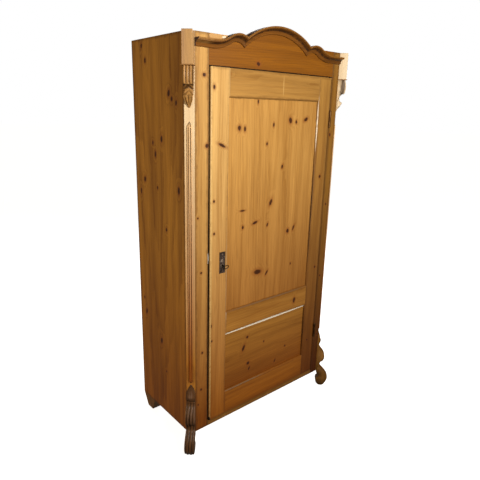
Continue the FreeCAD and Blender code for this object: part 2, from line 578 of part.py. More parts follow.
# ---------------------------------------------------------------- lock, key, strike and escutcheon
shell = box(DOOR_LEFT, LOCK_FRONT, LOCK_BASE, "lock_width", "lock_depth", "lock_height")
cavity = box("%s + lock_wall" % DOOR_LEFT, LOCK_FRONT, "%s + lock_wall" % LOCK_BASE,
             "lock_width - 2*lock_wall", "lock_depth - lock_wall", "lock_height - 2*lock_wall")
bolt_slot = box(DOOR_LEFT, "%s - bolt_play" % BOLT_FRONT, "%s - bolt_play" % BOLT_BASE, "lock_wall",
                "bolt_thickness + 2*bolt_play", "bolt_height + 2*bolt_play")
cover = box("%s + cover_inset" % DOOR_LEFT, "door_thickness", "%s - cover_margin" % LOCK_BASE,
            "lock_width - cover_inset", "cover_thickness", "lock_height + 2*cover_margin")
keep(cut(group("Part::MultiFuse", [shell, cover]), cavity, bolt_slot), "lock_case")

# The bolt: a square head through the lock's edge, and a deeper tail over the key's bit.
bolt = new_body()
pad(bolt, outline(bolt, "XZ_Plane", ("0", "0"), [
    ("head_length", "0"), ("head_length", "bolt_height - tail_height"),
    ("head_length + tail_length", "bolt_height - tail_height"), ("head_length + tail_length", "bolt_height"),
    ("0", "bolt_height"), ("0", "0")]), "bolt_thickness", reverse=True)
keep(bolt, "lock_bolt", "%s - bolt_stand" % DOOR_LEFT, BOLT_FRONT, BOLT_BASE)

shank = rod("0", "bow_radius - key_stand", "0", "key_radius",
            "key_stand - bow_radius + door_thickness - lock_wall - bolt_play", ALONG_Y)
collar = rod("0", "-plate_thickness - 2*key_radius", "0", "key_radius*1.6", "key_radius", ALONG_Y)
bow = doc.addObject("Part::Torus", "bow")
bind(bow, Radius1="bow_radius", Radius2="bow_wire")
BOW_TURN = FreeCAD.Rotation(ALONG_Y, -number("bow_turn"))
bow.Placement.Rotation = BOW_TURN
move(bow, "0", "-key_stand", "0")
bit = doc.addObject("Part::Box", "bit")
bind(bit, Length="bit_length", Width="bit_width", Height="bit_thickness")
bit.Placement.Rotation = BOW_TURN
move(bit, "bit_thickness/2*sin(bow_turn)", "%s + (lock_depth - lock_wall - bit_width)/2" % LOCK_FRONT,
     "-bit_thickness/2*cos(bow_turn)")
keep(group("Part::MultiFuse", [shank, collar, bow, bit]), "key", KEY_X, "0", KEY_Z)

strike = box("%s - strike_thickness" % OPEN_LEFT, "0", "%s - strike_margin" % BOLT_BASE,
             "strike_thickness", "frame_thickness", "bolt_height + 2*strike_margin")
strike_hole = box("%s - strike_thickness" % OPEN_LEFT, "%s - 2*bolt_play" % BOLT_FRONT,
                  "%s - 2*bolt_play" % BOLT_BASE, "strike_thickness", "bolt_thickness + 4*bolt_play",
                  "bolt_height + 4*bolt_play")
STRIKE_LEVELS = ["%s - strike_margin/2" % BOLT_BASE, "%s + bolt_height + strike_margin/2" % BOLT_BASE]
strike_screw_holes = [rod("%s - strike_thickness" % OPEN_LEFT, "frame_thickness/2", level, "screw_head",
                          "strike_thickness", ALONG_X) for level in STRIKE_LEVELS]
keep(cut(strike, strike_hole, *strike_screw_holes), "strike_plate")

# The keyhole plate has a raised rim round a sunk field, and a nail in each corner.
RIM = "plate_width*0.12"
PLATE_LEFT = "(%s - plate_width/2)" % KEY_X
PLATE_BASE = "(foot_height + plate_base)"
plate = box(PLATE_LEFT, "-plate_thickness", PLATE_BASE, "plate_width", "plate_thickness", "plate_height")
field = box("%s + %s" % (PLATE_LEFT, RIM), "-plate_thickness", "%s + %s" % (PLATE_BASE, RIM),
            "plate_width - 2*%s" % RIM, "plate_thickness*0.4", "plate_height - 2*%s" % RIM)
plate_hole = rod(KEY_X, "-plate_thickness", KEY_Z, "keyhole_radius", "plate_thickness", ALONG_Y)
plate_slot = box("%s - bit_thickness/2 - bolt_play" % KEY_X, "-plate_thickness",
                 "%s - bit_length - bolt_play" % KEY_Z, "bit_thickness + 2*bolt_play", "plate_thickness",
                 "bit_length")
NAIL_INSET = "plate_width*0.2"
NAIL_LEVELS = ["%s + %s" % (PLATE_BASE, NAIL_INSET), "%s + plate_height - %s" % (PLATE_BASE, NAIL_INSET)]
NAIL_SIDES = ["%s + %s" % (PLATE_LEFT, NAIL_INSET), "%s + plate_width - %s" % (PLATE_LEFT, NAIL_INSET)]
NAILS = [(side, level) for level in NAIL_LEVELS for side in NAIL_SIDES]
nail_holes = [rod(x, "-plate_thickness", z, "nail_radius", "plate_thickness", ALONG_Y) for x, z in NAILS]
keep(cut(plate, field, plate_hole, plate_slot, *nail_holes), "escutcheon")

# ---------------------------------------------------------------- fasteners, identical ones in one node


def fastener(place, axis, head_radius, head_height, shank_radius, length):
    """A flat-headed screw or nail: place is the middle of the head's face, axis the way it is driven."""
    head = Part.makeCylinder(head_radius, head_height, place, axis)
    return head.fuse(Part.makeCylinder(shank_radius, length, place, axis))


def spot(x, y, z):
    return Vector(number(x), number("%s + %s" % (y, FRONT)), number(z))


def fasteners(label, shapes):
    node = doc.addObject("Part::Feature", label)
    node.Shape = Part.makeCompound(shapes)
    node.Label = label
    pieces.append(node)


# The hinge screws sink into the leaves. A nail's shallow head stands on the plate's sunk field, and
# its point stops short of the lock behind.
screw = [number(size) for size in ("screw_head", "leaf_thickness", "screw_radius", "screw_length")]
door_screws = []
case_screws = []
for _, base in HINGES:
    for level in SCREW_LEVELS:
        height = "%s + %s" % (base, level)
        depth = "%s + %s" % (HINGE_Y, SCREW_DEPTH)
        on_door = spot("%s + leaf_thickness" % DOOR_RIGHT, depth, height)
        door_screws.append(fastener(on_door, -ALONG_X, *screw))
        on_case = spot("%s - leaf_thickness" % OPEN_RIGHT, depth, height)
        case_screws.append(fastener(on_case, ALONG_X, *screw))
for level in STRIKE_LEVELS:
    case_screws.append(fastener(spot(OPEN_LEFT, "frame_thickness/2", level), -ALONG_X, *screw))
for x in ("%s + cover_inset + cover_margin" % DOOR_LEFT, "%s + lock_width - cover_margin" % DOOR_LEFT):
    for z in ("%s - cover_margin/2" % LOCK_BASE, "%s + lock_height + cover_margin/2" % LOCK_BASE):
        door_screws.append(fastener(spot(x, "door_thickness + cover_thickness + leaf_thickness", z),
                                    -ALONG_Y, *screw))
fasteners("door_screws", door_screws)
fasteners("case_screws", case_screws)
NAIL_STAND = "plate_thickness*1.3"
NAIL_LENGTH = "%s + %s - nail_stop" % (NAIL_STAND, LOCK_FRONT)
nail = [number(size) for size in ("nail_radius*1.5", "nail_radius*0.6", "nail_radius", NAIL_LENGTH)]
fasteners("escutcheon_nails", [fastener(spot(x, "-" + NAIL_STAND, z), ALONG_Y, *nail) for x, z in NAILS])

# ---------------------------------------------------------------- check and write
doc.recompute()
for thing in doc.Objects:
    if "Invalid" in thing.State or "Error" in thing.State:
        raise RuntimeError("%s (%s) failed: %s" % (thing.Name, thing.Label, thing.State))
labels = [piece.Label for piece in pieces]
if len(set(labels)) != len(labels):
    raise RuntimeError("two pieces share a name")
for piece in pieces:
    if piece.Shape.isNull() or not piece.Shape.isValid() or not piece.Shape.Solids:
        raise RuntimeError("%s has no sound solid" % piece.Label)
os.makedirs("parts", exist_ok=True)
for piece in pieces:
    piece.Shape.exportStep("parts/%s.step" % piece.Label)
print("wrote %d pieces" % len(pieces))
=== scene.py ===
import json
import math

import bmesh
import bpy
from mathutils import Matrix, Vector


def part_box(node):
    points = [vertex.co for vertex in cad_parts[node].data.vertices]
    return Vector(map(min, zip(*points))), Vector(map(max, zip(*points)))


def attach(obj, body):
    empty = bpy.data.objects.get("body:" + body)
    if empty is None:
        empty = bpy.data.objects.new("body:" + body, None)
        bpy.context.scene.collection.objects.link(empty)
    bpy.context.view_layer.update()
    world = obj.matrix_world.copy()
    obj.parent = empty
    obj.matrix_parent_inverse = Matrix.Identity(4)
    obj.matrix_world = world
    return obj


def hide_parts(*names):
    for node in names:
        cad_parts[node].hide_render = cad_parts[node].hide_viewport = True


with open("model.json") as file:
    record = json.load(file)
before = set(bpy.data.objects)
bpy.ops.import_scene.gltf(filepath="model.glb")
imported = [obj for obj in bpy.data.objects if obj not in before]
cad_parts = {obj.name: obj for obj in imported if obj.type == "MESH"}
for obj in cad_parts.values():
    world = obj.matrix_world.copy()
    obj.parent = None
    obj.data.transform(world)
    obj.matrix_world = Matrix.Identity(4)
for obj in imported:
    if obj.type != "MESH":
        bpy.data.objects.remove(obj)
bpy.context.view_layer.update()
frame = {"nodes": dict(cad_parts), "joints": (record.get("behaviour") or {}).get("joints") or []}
nodes = frame["nodes"]

# ---- Case: sides, back, floor, roof and face frame
# Old pine boards, planed by hand and waxed. The two wide sides carry the case; the stiles, the
# bottom rail and the frieze are butted and nailed to them, and four planks close the back.

mm = 0.001
TURN = {"X": (0.0, math.pi / 2, 0.0), "Y": (math.pi / 2, 0.0, 0.0), "Z": (0.0, 0.0, 0.0)}
THROUGH = 10.0  # a knot runs right through its board, so it is this long that way, in metres
RINGS_APART = 0.314  # metres between the Wave node's rings at a scale of 1
AMOUNT, UNDER, OVER = 0, 6, 7  # the sockets of a Mix node that mixes colours
# The last is the colour of dirt and painted shade along a board's edges
KNOT_COLOUR, KNOT_HALO, EDGE_DIRT_AND_SHADE = "40200E", "8A4A1A", "4A2A12"


def linear(code):
    """An sRGB hex colour as linear red, green, blue and alpha."""
    parts = [int(code[i:i + 2], 16) / 255 for i in (0, 2, 4)]
    return [p / 12.92 if p <= 0.04045 else ((p + 0.055) / 1.055) ** 2.4 for p in parts] + [1.0]


def add(tree, kind, sockets=(), give=None, **settings):
    """A shader node with its settings, each socket holding a value or a link. The sockets come by
    name or number, or as a list in the node's own order: a MapRange takes its value, then from low,
    from high, to low and to high. Gives one of the node's outputs."""
    made = tree.nodes.new("ShaderNode" + kind)
    for name, value in settings.items():
        setattr(made, name, value)
    for key, value in sockets.items() if isinstance(sockets, dict) else enumerate(sockets):
        if isinstance(value, bpy.types.NodeSocket):
            tree.links.new(value, made.inputs[key])
        else:
            made.inputs[key].default_value = value
    return made.outputs[give] if give else next(out for out in made.outputs if out.enabled)


def nearest_knot(tree, place, face, knots):
    """How far a point lies from its nearest knot, counted in the knot's own half-widths."""
    nearest = None
    for across, height, half_across, half_height, tilt in knots:
        across, height = across * mm, height * mm
        half_across, half_height = half_across * mm, half_height * mm
        if face == "Y":
            spot, size, turn = (across, 0, height), (half_across, THROUGH, half_height), (0, tilt, 0)
        elif face == "X":
            spot, size, turn = (0, across, height), (THROUGH, half_across, half_height), (tilt, 0, 0)
        else:
            spot, size, turn = (across, height, 0), (half_across, half_height, THROUGH), (0, 0, tilt)
        local = add(tree, "Mapping", {"Vector": place, "Location": spot, "Rotation": turn,
                                      "Scale": size}, vector_type="TEXTURE")
        away = add(tree, "VectorMath", [local], give="Value", operation="LENGTH")
        nearest = away if nearest is None else add(tree, "Math", [nearest, away],
                                                   operation="MINIMUM")
    # A knot's outline wavers every 6 mm or so
    wobble = add(tree, "TexNoise", {"Vector": place, "Scale": 1 / (6.25 * mm), "Detail": 2.0})
    return add(tree, "Math", [wobble, 0.55, nearest], operation="MULTIPLY_ADD")


def edge_dirt_and_shade(tree, place, board, face, strength, colour):
    """Old wax and dirt, with painted shade, in a ragged band some 3 to 14 mm wide along the edges of a
    board's face.
    """
    middle = [(low + high) / 2 for low, high in zip(*board)]
    half = [(high - low) / 2 for low, high in zip(*board)]
    inward = add(tree, "VectorMath", [place, middle], operation="SUBTRACT")
    inward = add(tree, "VectorMath", [inward], operation="ABSOLUTE")
    inward = add(tree, "VectorMath", [half, inward], operation="SUBTRACT")
    sides = [add(tree, "SeparateXYZ", [inward], give=axis) for axis in "XYZ" if axis != face]
    rim = add(tree, "Math", sides, operation="MINIMUM")
    # The band's inner side is uneven over about 36 mm, as a rag leaves it
    ragged = add(tree, "TexNoise", {"Vector": place, "Scale": 1 / (35.71 * mm), "Detail": 4.0,
                                    "Roughness": 0.65})
    rim = add(tree, "Math", [ragged, -22 * mm, rim], operation="MULTIPLY_ADD")
    # Painted shade, with dirt: the band darkens each board's face towards its edges
    dirt = add(tree, "MapRange", [rim, -8 * mm, 3 * mm, strength, 0.0],
               interpolation_type="SMOOTHSTEP")
    return add(tree, "Mix", {AMOUNT: dirt, UNDER: colour, OVER: linear(EDGE_DIRT_AND_SHADE)},
               data_type="RGBA")


def marks_of_wear_and_light(tree, place, marks, colour):
    """Stains, rubbed edges and chips, and painted shadows and highlights, each an oval patch with a
    broken surface.
    """
    for spot, size, code, strength in marks:
        local = add(tree, "Mapping", {"Vector": place, "Location": [value * mm for value in spot],
                                      "Scale": [value * mm for value in size]},
                    vector_type="TEXTURE")
        away = add(tree, "VectorMath", [local], give="Value", operation="LENGTH")
        cover = add(tree, "MapRange", [away, 0.6, 1.1, strength, 0.0],
                    interpolation_type="SMOOTHSTEP")
        # Wear and painted light break up in flecks of about 11 mm
        patchy = add(tree, "TexNoise", {"Vector": place, "Scale": 1 / (11.11 * mm), "Detail": 3.0})
        patchy = add(tree, "MapRange", [patchy, 0.35, 0.5, 0.5, 1.0])
        cover = add(tree, "Math", [cover, patchy], operation="MULTIPLY", use_clamp=True)
        colour = add(tree, "Mix", {AMOUNT: cover, UNDER: colour, OVER: linear(code)},
                     data_type="RGBA")
    return colour


def wood(name, tones, along="Z", face="Y", pith=(0.0, 0.08), seed=0.0, rings=8, knots=(), marks=(),
         board=None, low=None, rough=0.42, hollow=None, streak=0.42, edge=0.45):
    """Sawn wood, in the object's own coordinates. Growth rings round a pith beside the board give the
    long grain lines; knots push the lines aside; dirt and painted shade darken the board's edges.
    tones are spring wood, summer wood and stain; rings is the width of a year, in mm.
    pith is where the tree's middle was, in metres across and through the board.
    A knot is (across, height, half across, half height, tilt) and a mark is (middle, half-size,
    colour, strength), in mm. low is (tint, full up to this height, gone from this height), in metres:
    a darkening towards the floor that is painted shade, with some wax and dirt.
    hollow is the colours of carved work: deep in the cuts, worn on the ridges."""
    pale, dark, stain = (linear(code) for code in tones)
    material = bpy.data.materials.new(name)
    material.use_nodes = True
    tree = material.node_tree
    shader = tree.nodes["Principled BSDF"]
    place = add(tree, "TexCoord", give="Object")
    grain = add(tree, "Mapping", {"Vector": place, "Rotation": TURN[along]})
    # The trunk's own bends: 143 mm across the grain and 1.1 m along it, up to 25 mm aside
    bends = add(tree, "Mapping", {"Vector": grain, "Location": (seed * 1.7, seed * 0.9, seed * 2.3),
                                  "Scale": [1 / (size * mm) for size in (142.86, 142.86, 1111)]})
    drift = add(tree, "TexNoise", {"Vector": bends, "Scale": 1.0, "Detail": 3.0,
                                   "Roughness": 0.55}, give="Color")
    push = add(tree, "VectorMath", [drift, (0.5, 0.5, 0.5)], operation="SUBTRACT")
    push = add(tree, "VectorMath", {0: push, "Scale": 50 * mm}, operation="SCALE")
    bent = add(tree, "VectorMath", [grain, push])
    centred = add(tree, "Mapping", {"Vector": bent, "Location": (-pith[0], -pith[1], 0.0),
                                    "Rotation": (0.015, 0.02, 0.0)})

    phase = 0.0
    if knots:
        nearest = nearest_knot(tree, place, face, knots)
        phase = add(tree, "MapRange", [nearest, 0.6, 4.5, 11.0, 0.0],
                    interpolation_type="SMOOTHSTEP")
    # Real years are 2 to 4 mm wide; they are drawn wider, so that the lines show
    lines = add(tree, "TexWave", {"Vector": centred, "Scale": RINGS_APART / (rings * mm),
                                  "Distortion": 0.6, "Detail": 2.0, "Detail Scale": 1.2,
                                  "Phase Offset": phase},
                give="Fac", wave_type="RINGS", rings_direction="Z", wave_profile="SAW")
    # A year goes slowly from spring to summer wood, and stops short
    year = add(tree, "ValToRGB", {"Fac": lines})
    ramp = year.node.color_ramp
    ramp.elements[0].color, ramp.elements[1].color = (0, 0, 0, 1), (0, 0, 0, 1)
    for at, value in ((0.45, 0.22), (0.82, 0.9), (0.93, 1.0)):
        ramp.elements.new(at).color = (value, value, value, 1)
    # Fibres are a few hundredths of a millimetre; drawn 2.4 mm apart and 111 mm long, to show
    fibres = add(tree, "Mapping", {"Vector": bent,
                                   "Scale": [1 / (size * mm) for size in (2.381, 2.381, 111.1)]})
    fibre = add(tree, "TexNoise", {"Vector": fibres, "Scale": 1.0, "Detail": 2.0, "Roughness": 0.6})
    # Broad bands of richer and poorer years, about 29 mm wide
    bands = add(tree, "Mapping", {"Vector": bent, "Location": (seed, 0.0, 0.0),
                                  "Scale": [1 / (size * mm) for size in (29.41, 29.41, 769.2)]})
    band = add(tree, "TexNoise", {"Vector": bands, "Scale": 1.0, "Detail": 3.0, "Roughness": 0.6})

    weight = add(tree, "MapRange", [band, 0.34, 0.66, 0.15, 1.0])
    amount = add(tree, "Math", [year, weight], operation="MULTIPLY")
    amount = add(tree, "Math", [amount, streak], operation="MULTIPLY")
    colour = add(tree, "Mix", {AMOUNT: amount, UNDER: pale, OVER: dark}, data_type="RGBA")
    mottle = add(tree, "MapRange", [drift, 0.40, 0.70, 0.0, 0.5])
    colour = add(tree, "Mix", {AMOUNT: mottle, UNDER: colour, OVER: stain}, data_type="RGBA")
    rich = add(tree, "MapRange", [band, 0.38, 0.62, 0.0, 0.30])
    colour = add(tree, "Mix", {AMOUNT: rich, UNDER: colour, OVER: stain}, data_type="RGBA")
    threads = add(tree, "MapRange", [fibre, 0.3, 0.75, 1.08, 0.84])
    colour = add(tree, "Mix", {AMOUNT: 1.0, UNDER: colour, OVER: threads},
                 data_type="RGBA", blend_type="MULTIPLY")

    if low is not None:  # painted shade, with some wax and dirt, darkens the foot of the board
        tint, full, gone = low
        height = add(tree, "SeparateXYZ", [place], give="Z")
        level = add(tree, "MapRange", [height, full, gone, 1.0, 0.0])
        shaded_and_soiled = add(tree, "Mix", {AMOUNT: 1.0, UNDER: colour, OVER: linear(tint)},
                     data_type="RGBA", blend_type="MULTIPLY")
        colour = add(tree, "Mix", {AMOUNT: level, UNDER: colour, OVER: shaded_and_soiled}, data_type="RGBA")
    if board is not None:
        colour = edge_dirt_and_shade(tree, place, board, face, edge, colour)

    bumps = add(tree, "Math", [year, 0.5, fibre], operation="MULTIPLY_ADD")
    if knots:  # a dark heart that has shrunk below the face, in a halo of resin
        halo = add(tree, "MapRange", [nearest, 1.0, 2.8, 0.55, 0.0], interpolation_type="SMOOTHSTEP")
        colour = add(tree, "Mix", {AMOUNT: halo, UNDER: colour, OVER: linear(KNOT_HALO)},
                     data_type="RGBA")
        heart = add(tree, "MapRange", [nearest, 0.95, 1.45, 0.97, 0.0],
                    interpolation_type="SMOOTHSTEP")
        colour = add(tree, "Mix", {AMOUNT: heart, UNDER: colour, OVER: linear(KNOT_COLOUR)},
                     data_type="RGBA")
        bumps = add(tree, "Math", [heart, -1.2, bumps], operation="MULTIPLY_ADD")

    colour = marks_of_wear_and_light(tree, place, marks, colour)

    if hollow is not None:  # carved work: dark in the hollows, rubbed pale on the ridges
        deep, worn = (linear(code) for code in hollow)
        carved = add(tree, "Attribute", give="Fac", attribute_name="hollow")
        # Hands and dusters rub it unevenly, over about 14 mm
        rub = add(tree, "TexNoise", {"Vector": place, "Scale": 1 / (14.29 * mm), "Detail": 3.0})
        carved = add(tree, "Math", [rub, 0.3, carved], operation="MULTIPLY_ADD")
        sunk = add(tree, "MapRange", [carved, 0.55, 0.95, 0.0, 0.85])
        colour = add(tree, "Mix", {AMOUNT: sunk, UNDER: colour, OVER: deep}, data_type="RGBA")
        proud = add(tree, "MapRange", [carved, -0.35, 0.02, 0.85, 0.0])
        colour = add(tree, "Mix", {AMOUNT: proud, UNDER: colour, OVER: worn}, data_type="RGBA")

    tree.links.new(colour, shader.inputs["Base Color"])
    sheen = add(tree, "MapRange", [fibre, 0.25, 0.75, rough - 0.07, rough + 0.13])
    tree.links.new(sheen, shader.inputs["Roughness"])
    relief = add(tree, "Bump", {"Height": bumps, "Strength": 0.55, "Distance": 0.6 * mm})
    tree.links.new(relief, shader.inputs["Normal"])
    # Wax over pine: a low shine with a thin soft coat
    shader.inputs["IOR"].default_value = 1.45
    shader.inputs["Specular IOR Level"].default_value = 0.35
    shader.inputs["Coat Weight"].default_value = 0.05
    shader.inputs["Coat Roughness"].default_value = 0.35
    return material


def finish(name, material, ease=1.5):
    """Gives a CAD piece its material and eases its sharp edges by so many millimetres."""
    piece = nodes[name]
    piece.material_slots[0].material = material
    if ease:
        weld = piece.modifiers.new("join", "WELD")
        weld.merge_threshold = 0.01 * mm
        eased = piece.modifiers.new("eased edges", "BEVEL")
        eased.width, eased.segments = ease * mm, 2
        eased.limit_method, eased.angle_limit = "ANGLE", math.radians(40)


# Waxed pine sides: dark amber and streaky, a dull shine, darker towards the floor with painted shade
# and some dirt.
side_knots = [(158, 1817, 6, 10, 0.2), (130, 1758, 7, 11, 0), (-54, 1624, 9, 14, 0.2),
              (-76, 1602, 7, 9, 0), (-108, 1587, 6, 11, 0.1), (9, 1440, 8, 15, 0),
              (82, 1420, 5, 8, 0), (62, 1373, 7, 13, 0), (161, 1253, 9, 13, 0.2),
              (200, 1193, 6, 14, 0), (51, 1227, 5, 8, 0), (-120, 1238, 8, 16, 0),
              (-17, 1050, 6, 9, 0), (205, 655, 5, 8, 0), (186, 586, 8, 14, 0.3),
              (48, 481, 8, 16, 0.1), (9, 330, 5, 6, 0)]
for name, seed, pith_across, knots in (("side_left", 1.0, 0.3, side_knots),
                                       ("side_right", 2.0, -0.3, side_knots[3:11])):
    finish(name, wood("waxed pine, " + name, ("CC943A", "8A5814", "74460E"), face="X",
                      pith=(pith_across, 0.05), seed=seed, rings=11, knots=knots,
                      board=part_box(name), low=("D8B884", 0.1, 1.0), streak=0.7), ease=2)

# Waxed pine face stiles: golden and warm, with a black line of painted shadow beside the door's gap,
# and painted shade, with some dirt, towards the floor.
for name, seed, tones, pith_across, knots, marks in (
        ("face_stile_left", 3.0, ("E2B468", "A8722E", "8C581E"), -0.40,
         [(-385, 1693, 8, 7, 0), (-371, 1424, 8, 9, 0.4), (-416, 1130, 4, 4, 0),
          (-399, 886, 5, 5, 0), (-393, 499, 5, 6, 0), (-399, 310, 6, 6, 0), (-416, 235, 4, 6, 0)],
         # Painted shadow: a black line beside the door's gap
         [((-362.2, -190, 350), (3, 30, 1050), "1C0E06", 2.0)]),
        ("face_stile_right", 4.0, ("9E702C", "6C4614", "5A380C"), 0.36,
         [(395, 1457, 6, 9, 0), (404, 1100, 5, 6, 0), (400, 700, 6, 6, 0), (410, 340, 5, 7, 0)],
         [])):
    finish(name, wood("waxed pine, " + name, tones, pith=(pith_across, -0.28), seed=seed,
                      streak=0.45, knots=knots, board=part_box(name), low=("B2823A", 0.15, 1.25),
                      marks=marks), ease=2)

# Scrubbed pine corner boards: almost white high up, partly where hands have rubbed the wax away and
# partly a painted highlight; painted shade, with some dirt, darkens them lower down.
for name, seed, side in (("corner_board_left", 5.0, -1), ("corner_board_right", 6.0, 1)):
    finish(name, wood("scrubbed pine, " + name, ("FBE8C4", "E6BE86", "D8AC70"),
                      pith=(side * 0.5, -0.25), seed=seed, low=("C6974C", 0.45, 1.50),
                      marks=[((side * 445, -179, 400), (30, 30, 60), "7A4A20", 0.4)]), ease=1.2)

# Pine rail and boards: the rail brown with wax, the floor and the roof paler and plain.
for name, tones, face, seed in (("bottom_rail", ("A87430", "6E4414", "5E3A10"), "Y", 7.0),
                                ("floor_board", ("D2AC78", "A87C48", "9A7040"), "Z", 8.0),
                                ("roof_board", ("D2AC78", "A87C48", "9A7040"), "Z", 9.0)):
    finish(name, wood("pine, " + name, tones, along="X", face=face, pith=(0.1, 0.05), seed=seed,
                      board=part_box(name)))

# Rough pine back planks: sawn and never waxed, so dull and greyish.
for index in range(1, 5):
    name = "back_plank_%d" % index
    lowest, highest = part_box(name)
    middle, left = (lowest[0] + highest[0]) / 2, lowest[0] / mm
    finish(name, wood("rough pine, " + name, ("CDAA7C", "94703F", "8A6B48"),
                      pith=(middle + 0.03 * (-1) ** index, 0.30), seed=10.0 + index, rings=10,
                      board=(lowest, highest), rough=0.62,
                      knots=[(left + 60, 420 + 250 * index, 9, 12, 0),
                             (left + 150, 1650 - 210 * index, 7, 10, 0.3)]))

# ---- Frieze and cornice moulding
# A redder pine frieze board with an arched head. The moulding is worked on three pieces of pine,
# nailed round the board's top; its cove is dark with painted shadow and some old wax, and its
# fillets are rubbed, the front one pale with a painted highlight.

# Amber pine frieze: deep red brown and even, with two cream chips on the left shoulder and a dark line
# of painted shadow along its lower edge, over the door's gap.
finish("frieze_board",
       wood("amber pine, frieze", ("985F12", "703F0A", "5E3305"), along="X", pith=(1.6, -0.10),
            seed=15.0, knots=[(-106, 1753, 10, 8, 0.2)], streak=0.45,
            # Painted shadow: a dark line along the lower edge, over the door's gap
            marks=[((10, -190, 1728.5), (600, 60, 4), "241204", 1.6),
                   ((-330, -190, 1842), (110, 60, 18), "D0A468", 0.9),
                   ((-385, -190, 1838), (16, 60, 7), "F4E6CC", 1.0),
                   ((-290, -190, 1836), (12, 60, 6), "F4E6CC", 1.0)]),
       ease=1)

# Ochre pine moulding: brown, black in the cove with painted shadow and some old wax, a dark line of
# painted shadow above the cove, and a pale line along the front edge, worn and with a painted
# highlight.
for name, seed in (("cornice_moulding_left", 16.0), ("cornice_moulding_right", 17.0),
                   ("cornice_moulding_arch", 18.0)):
    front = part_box(name)[0][1] / mm
    finish(name, wood("ochre pine, " + name, ("845218", "4E2E0C", "422608"), along="X",
                      pith=(1.8, -0.14), seed=seed, streak=0.5,
                      # Painted shadow, with some old wax: black in the cove
                      marks=[((0, front + 15.0, 1700), (3000, 4.5, 3000), "2A170A", 0.85),
                             # Painted shadow: a dark line between the front fillet and the cove
                             ((0, front + 5.2, 1700), (3000, 1.8, 3000), "3A2410", 0.7),
                             # Rubbed wear and a painted highlight: a paler line along the front edge
                             ((0, front - 2.0, 1700), (3000, 5.0, 3000), "8C6024", 0.7),
                             ((-400, front + 10, 1820), (55, 30, 20), "A87C40", 0.45),
                             ((-430, -200, 1800), (1.2, 1000, 1000), "3A3440", 0.9)]), ease=0)

# ---- Ornaments on the canted corners
# Blocks, ledges, consoles and lancet strips are separate pieces of pine glued to the canted corner
# boards. Consoles and strips are sawn to outline and then carved with gouges.

lowest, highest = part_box("corner_board_left")
CANT = Vector(((lowest[0] + highest[0]) / 2, (lowest[1] + highest[1]) / 2, 0.0))  # at floor level
OUTWARD = Vector((-math.sqrt(0.5), -math.sqrt(0.5), 0.0))
ACROSS = Vector((-math.sqrt(0.5), math.sqrt(0.5), 0.0))
UP = Vector((0.0, 0.0, 1.0))


def cut(shape, axis, level):
    """Cuts a row of edges right round at one level along an axis, for the carving to move."""
    place, normal = [0.0] * 3, [0.0] * 3
    place[axis], normal[axis] = level, 1.0
    bmesh.ops.bisect_plane(shape, geom=shape.verts[:] + shape.edges[:] + shape.faces[:],
                           plane_co=place, plane_no=normal, dist=0.001 * mm)


def sawn(name, outline, half_width, columns):
    """A board sawn to an outline of (out, up, corner) points in mm, in columns across."""
    curve = bpy.data.curves.new(name, "CURVE")
    curve.dimensions, curve.fill_mode, curve.resolution_u = "2D", "BOTH", 7
    curve.extrude = half_width
    line = curve.splines.new("BEZIER")
    line.bezier_points.add(len(outline) - 1)
    for point, (out, up, corner) in zip(line.bezier_points, outline):
        point.co = (out * mm, up * mm, 0.0)
        point.handle_left_type = point.handle_right_type = "VECTOR" if corner else "AUTO"
    line.use_cyclic_u = True
    holder = bpy.data.objects.new(name, curve)
    bpy.context.scene.collection.objects.link(holder)
    solid = holder.evaluated_get(bpy.context.evaluated_depsgraph_get())
    mesh = bpy.data.meshes.new_from_object(solid)
    bpy.data.objects.remove(holder)
    shape = bmesh.new()
    shape.from_mesh(mesh)
    bmesh.ops.remove_doubles(shape, verts=shape.verts, dist=0.02 * mm)
    for index in range(1, columns):
        cut(shape, 2, -half_width + 2 * half_width * index / columns)
    bmesh.ops.recalc_face_normals(shape, faces=shape.faces)
    return shape


def set_on_cant(name, shape, side, material, smooth=True):
    """Turns carved work from its own frame (out, up, across) to the left or right canted corner."""
    to_case = Matrix((OUTWARD, UP, ACROSS)).transposed().to_4x4()
    bmesh.ops.transform(shape, matrix=Matrix.Translation(CANT) @ to_case, verts=shape.verts)
    if side == "right":
        bmesh.ops.transform(shape, matrix=Matrix.Diagonal((-1, 1, 1, 1)), verts=shape.verts)
    bmesh.ops.recalc_face_normals(shape, faces=shape.faces)
    mesh = bpy.data.meshes.new(name)
    shape.to_mesh(mesh)
    shape.free()
    for face in mesh.polygons:
        face.use_smooth = smooth
    piece = bpy.data.objects.new(name, mesh)
    bpy.context.scene.collection.objects.link(piece)
    mesh.materials.append(material)
    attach(piece, "case")
    return piece


def smoothstep(low, high, value):
    """A soft step from 0 at low to 1 at high."""
    t = min(max((value - low) / (high - low), 0.0), 1.0)
    return t * t * (3 - 2 * t)


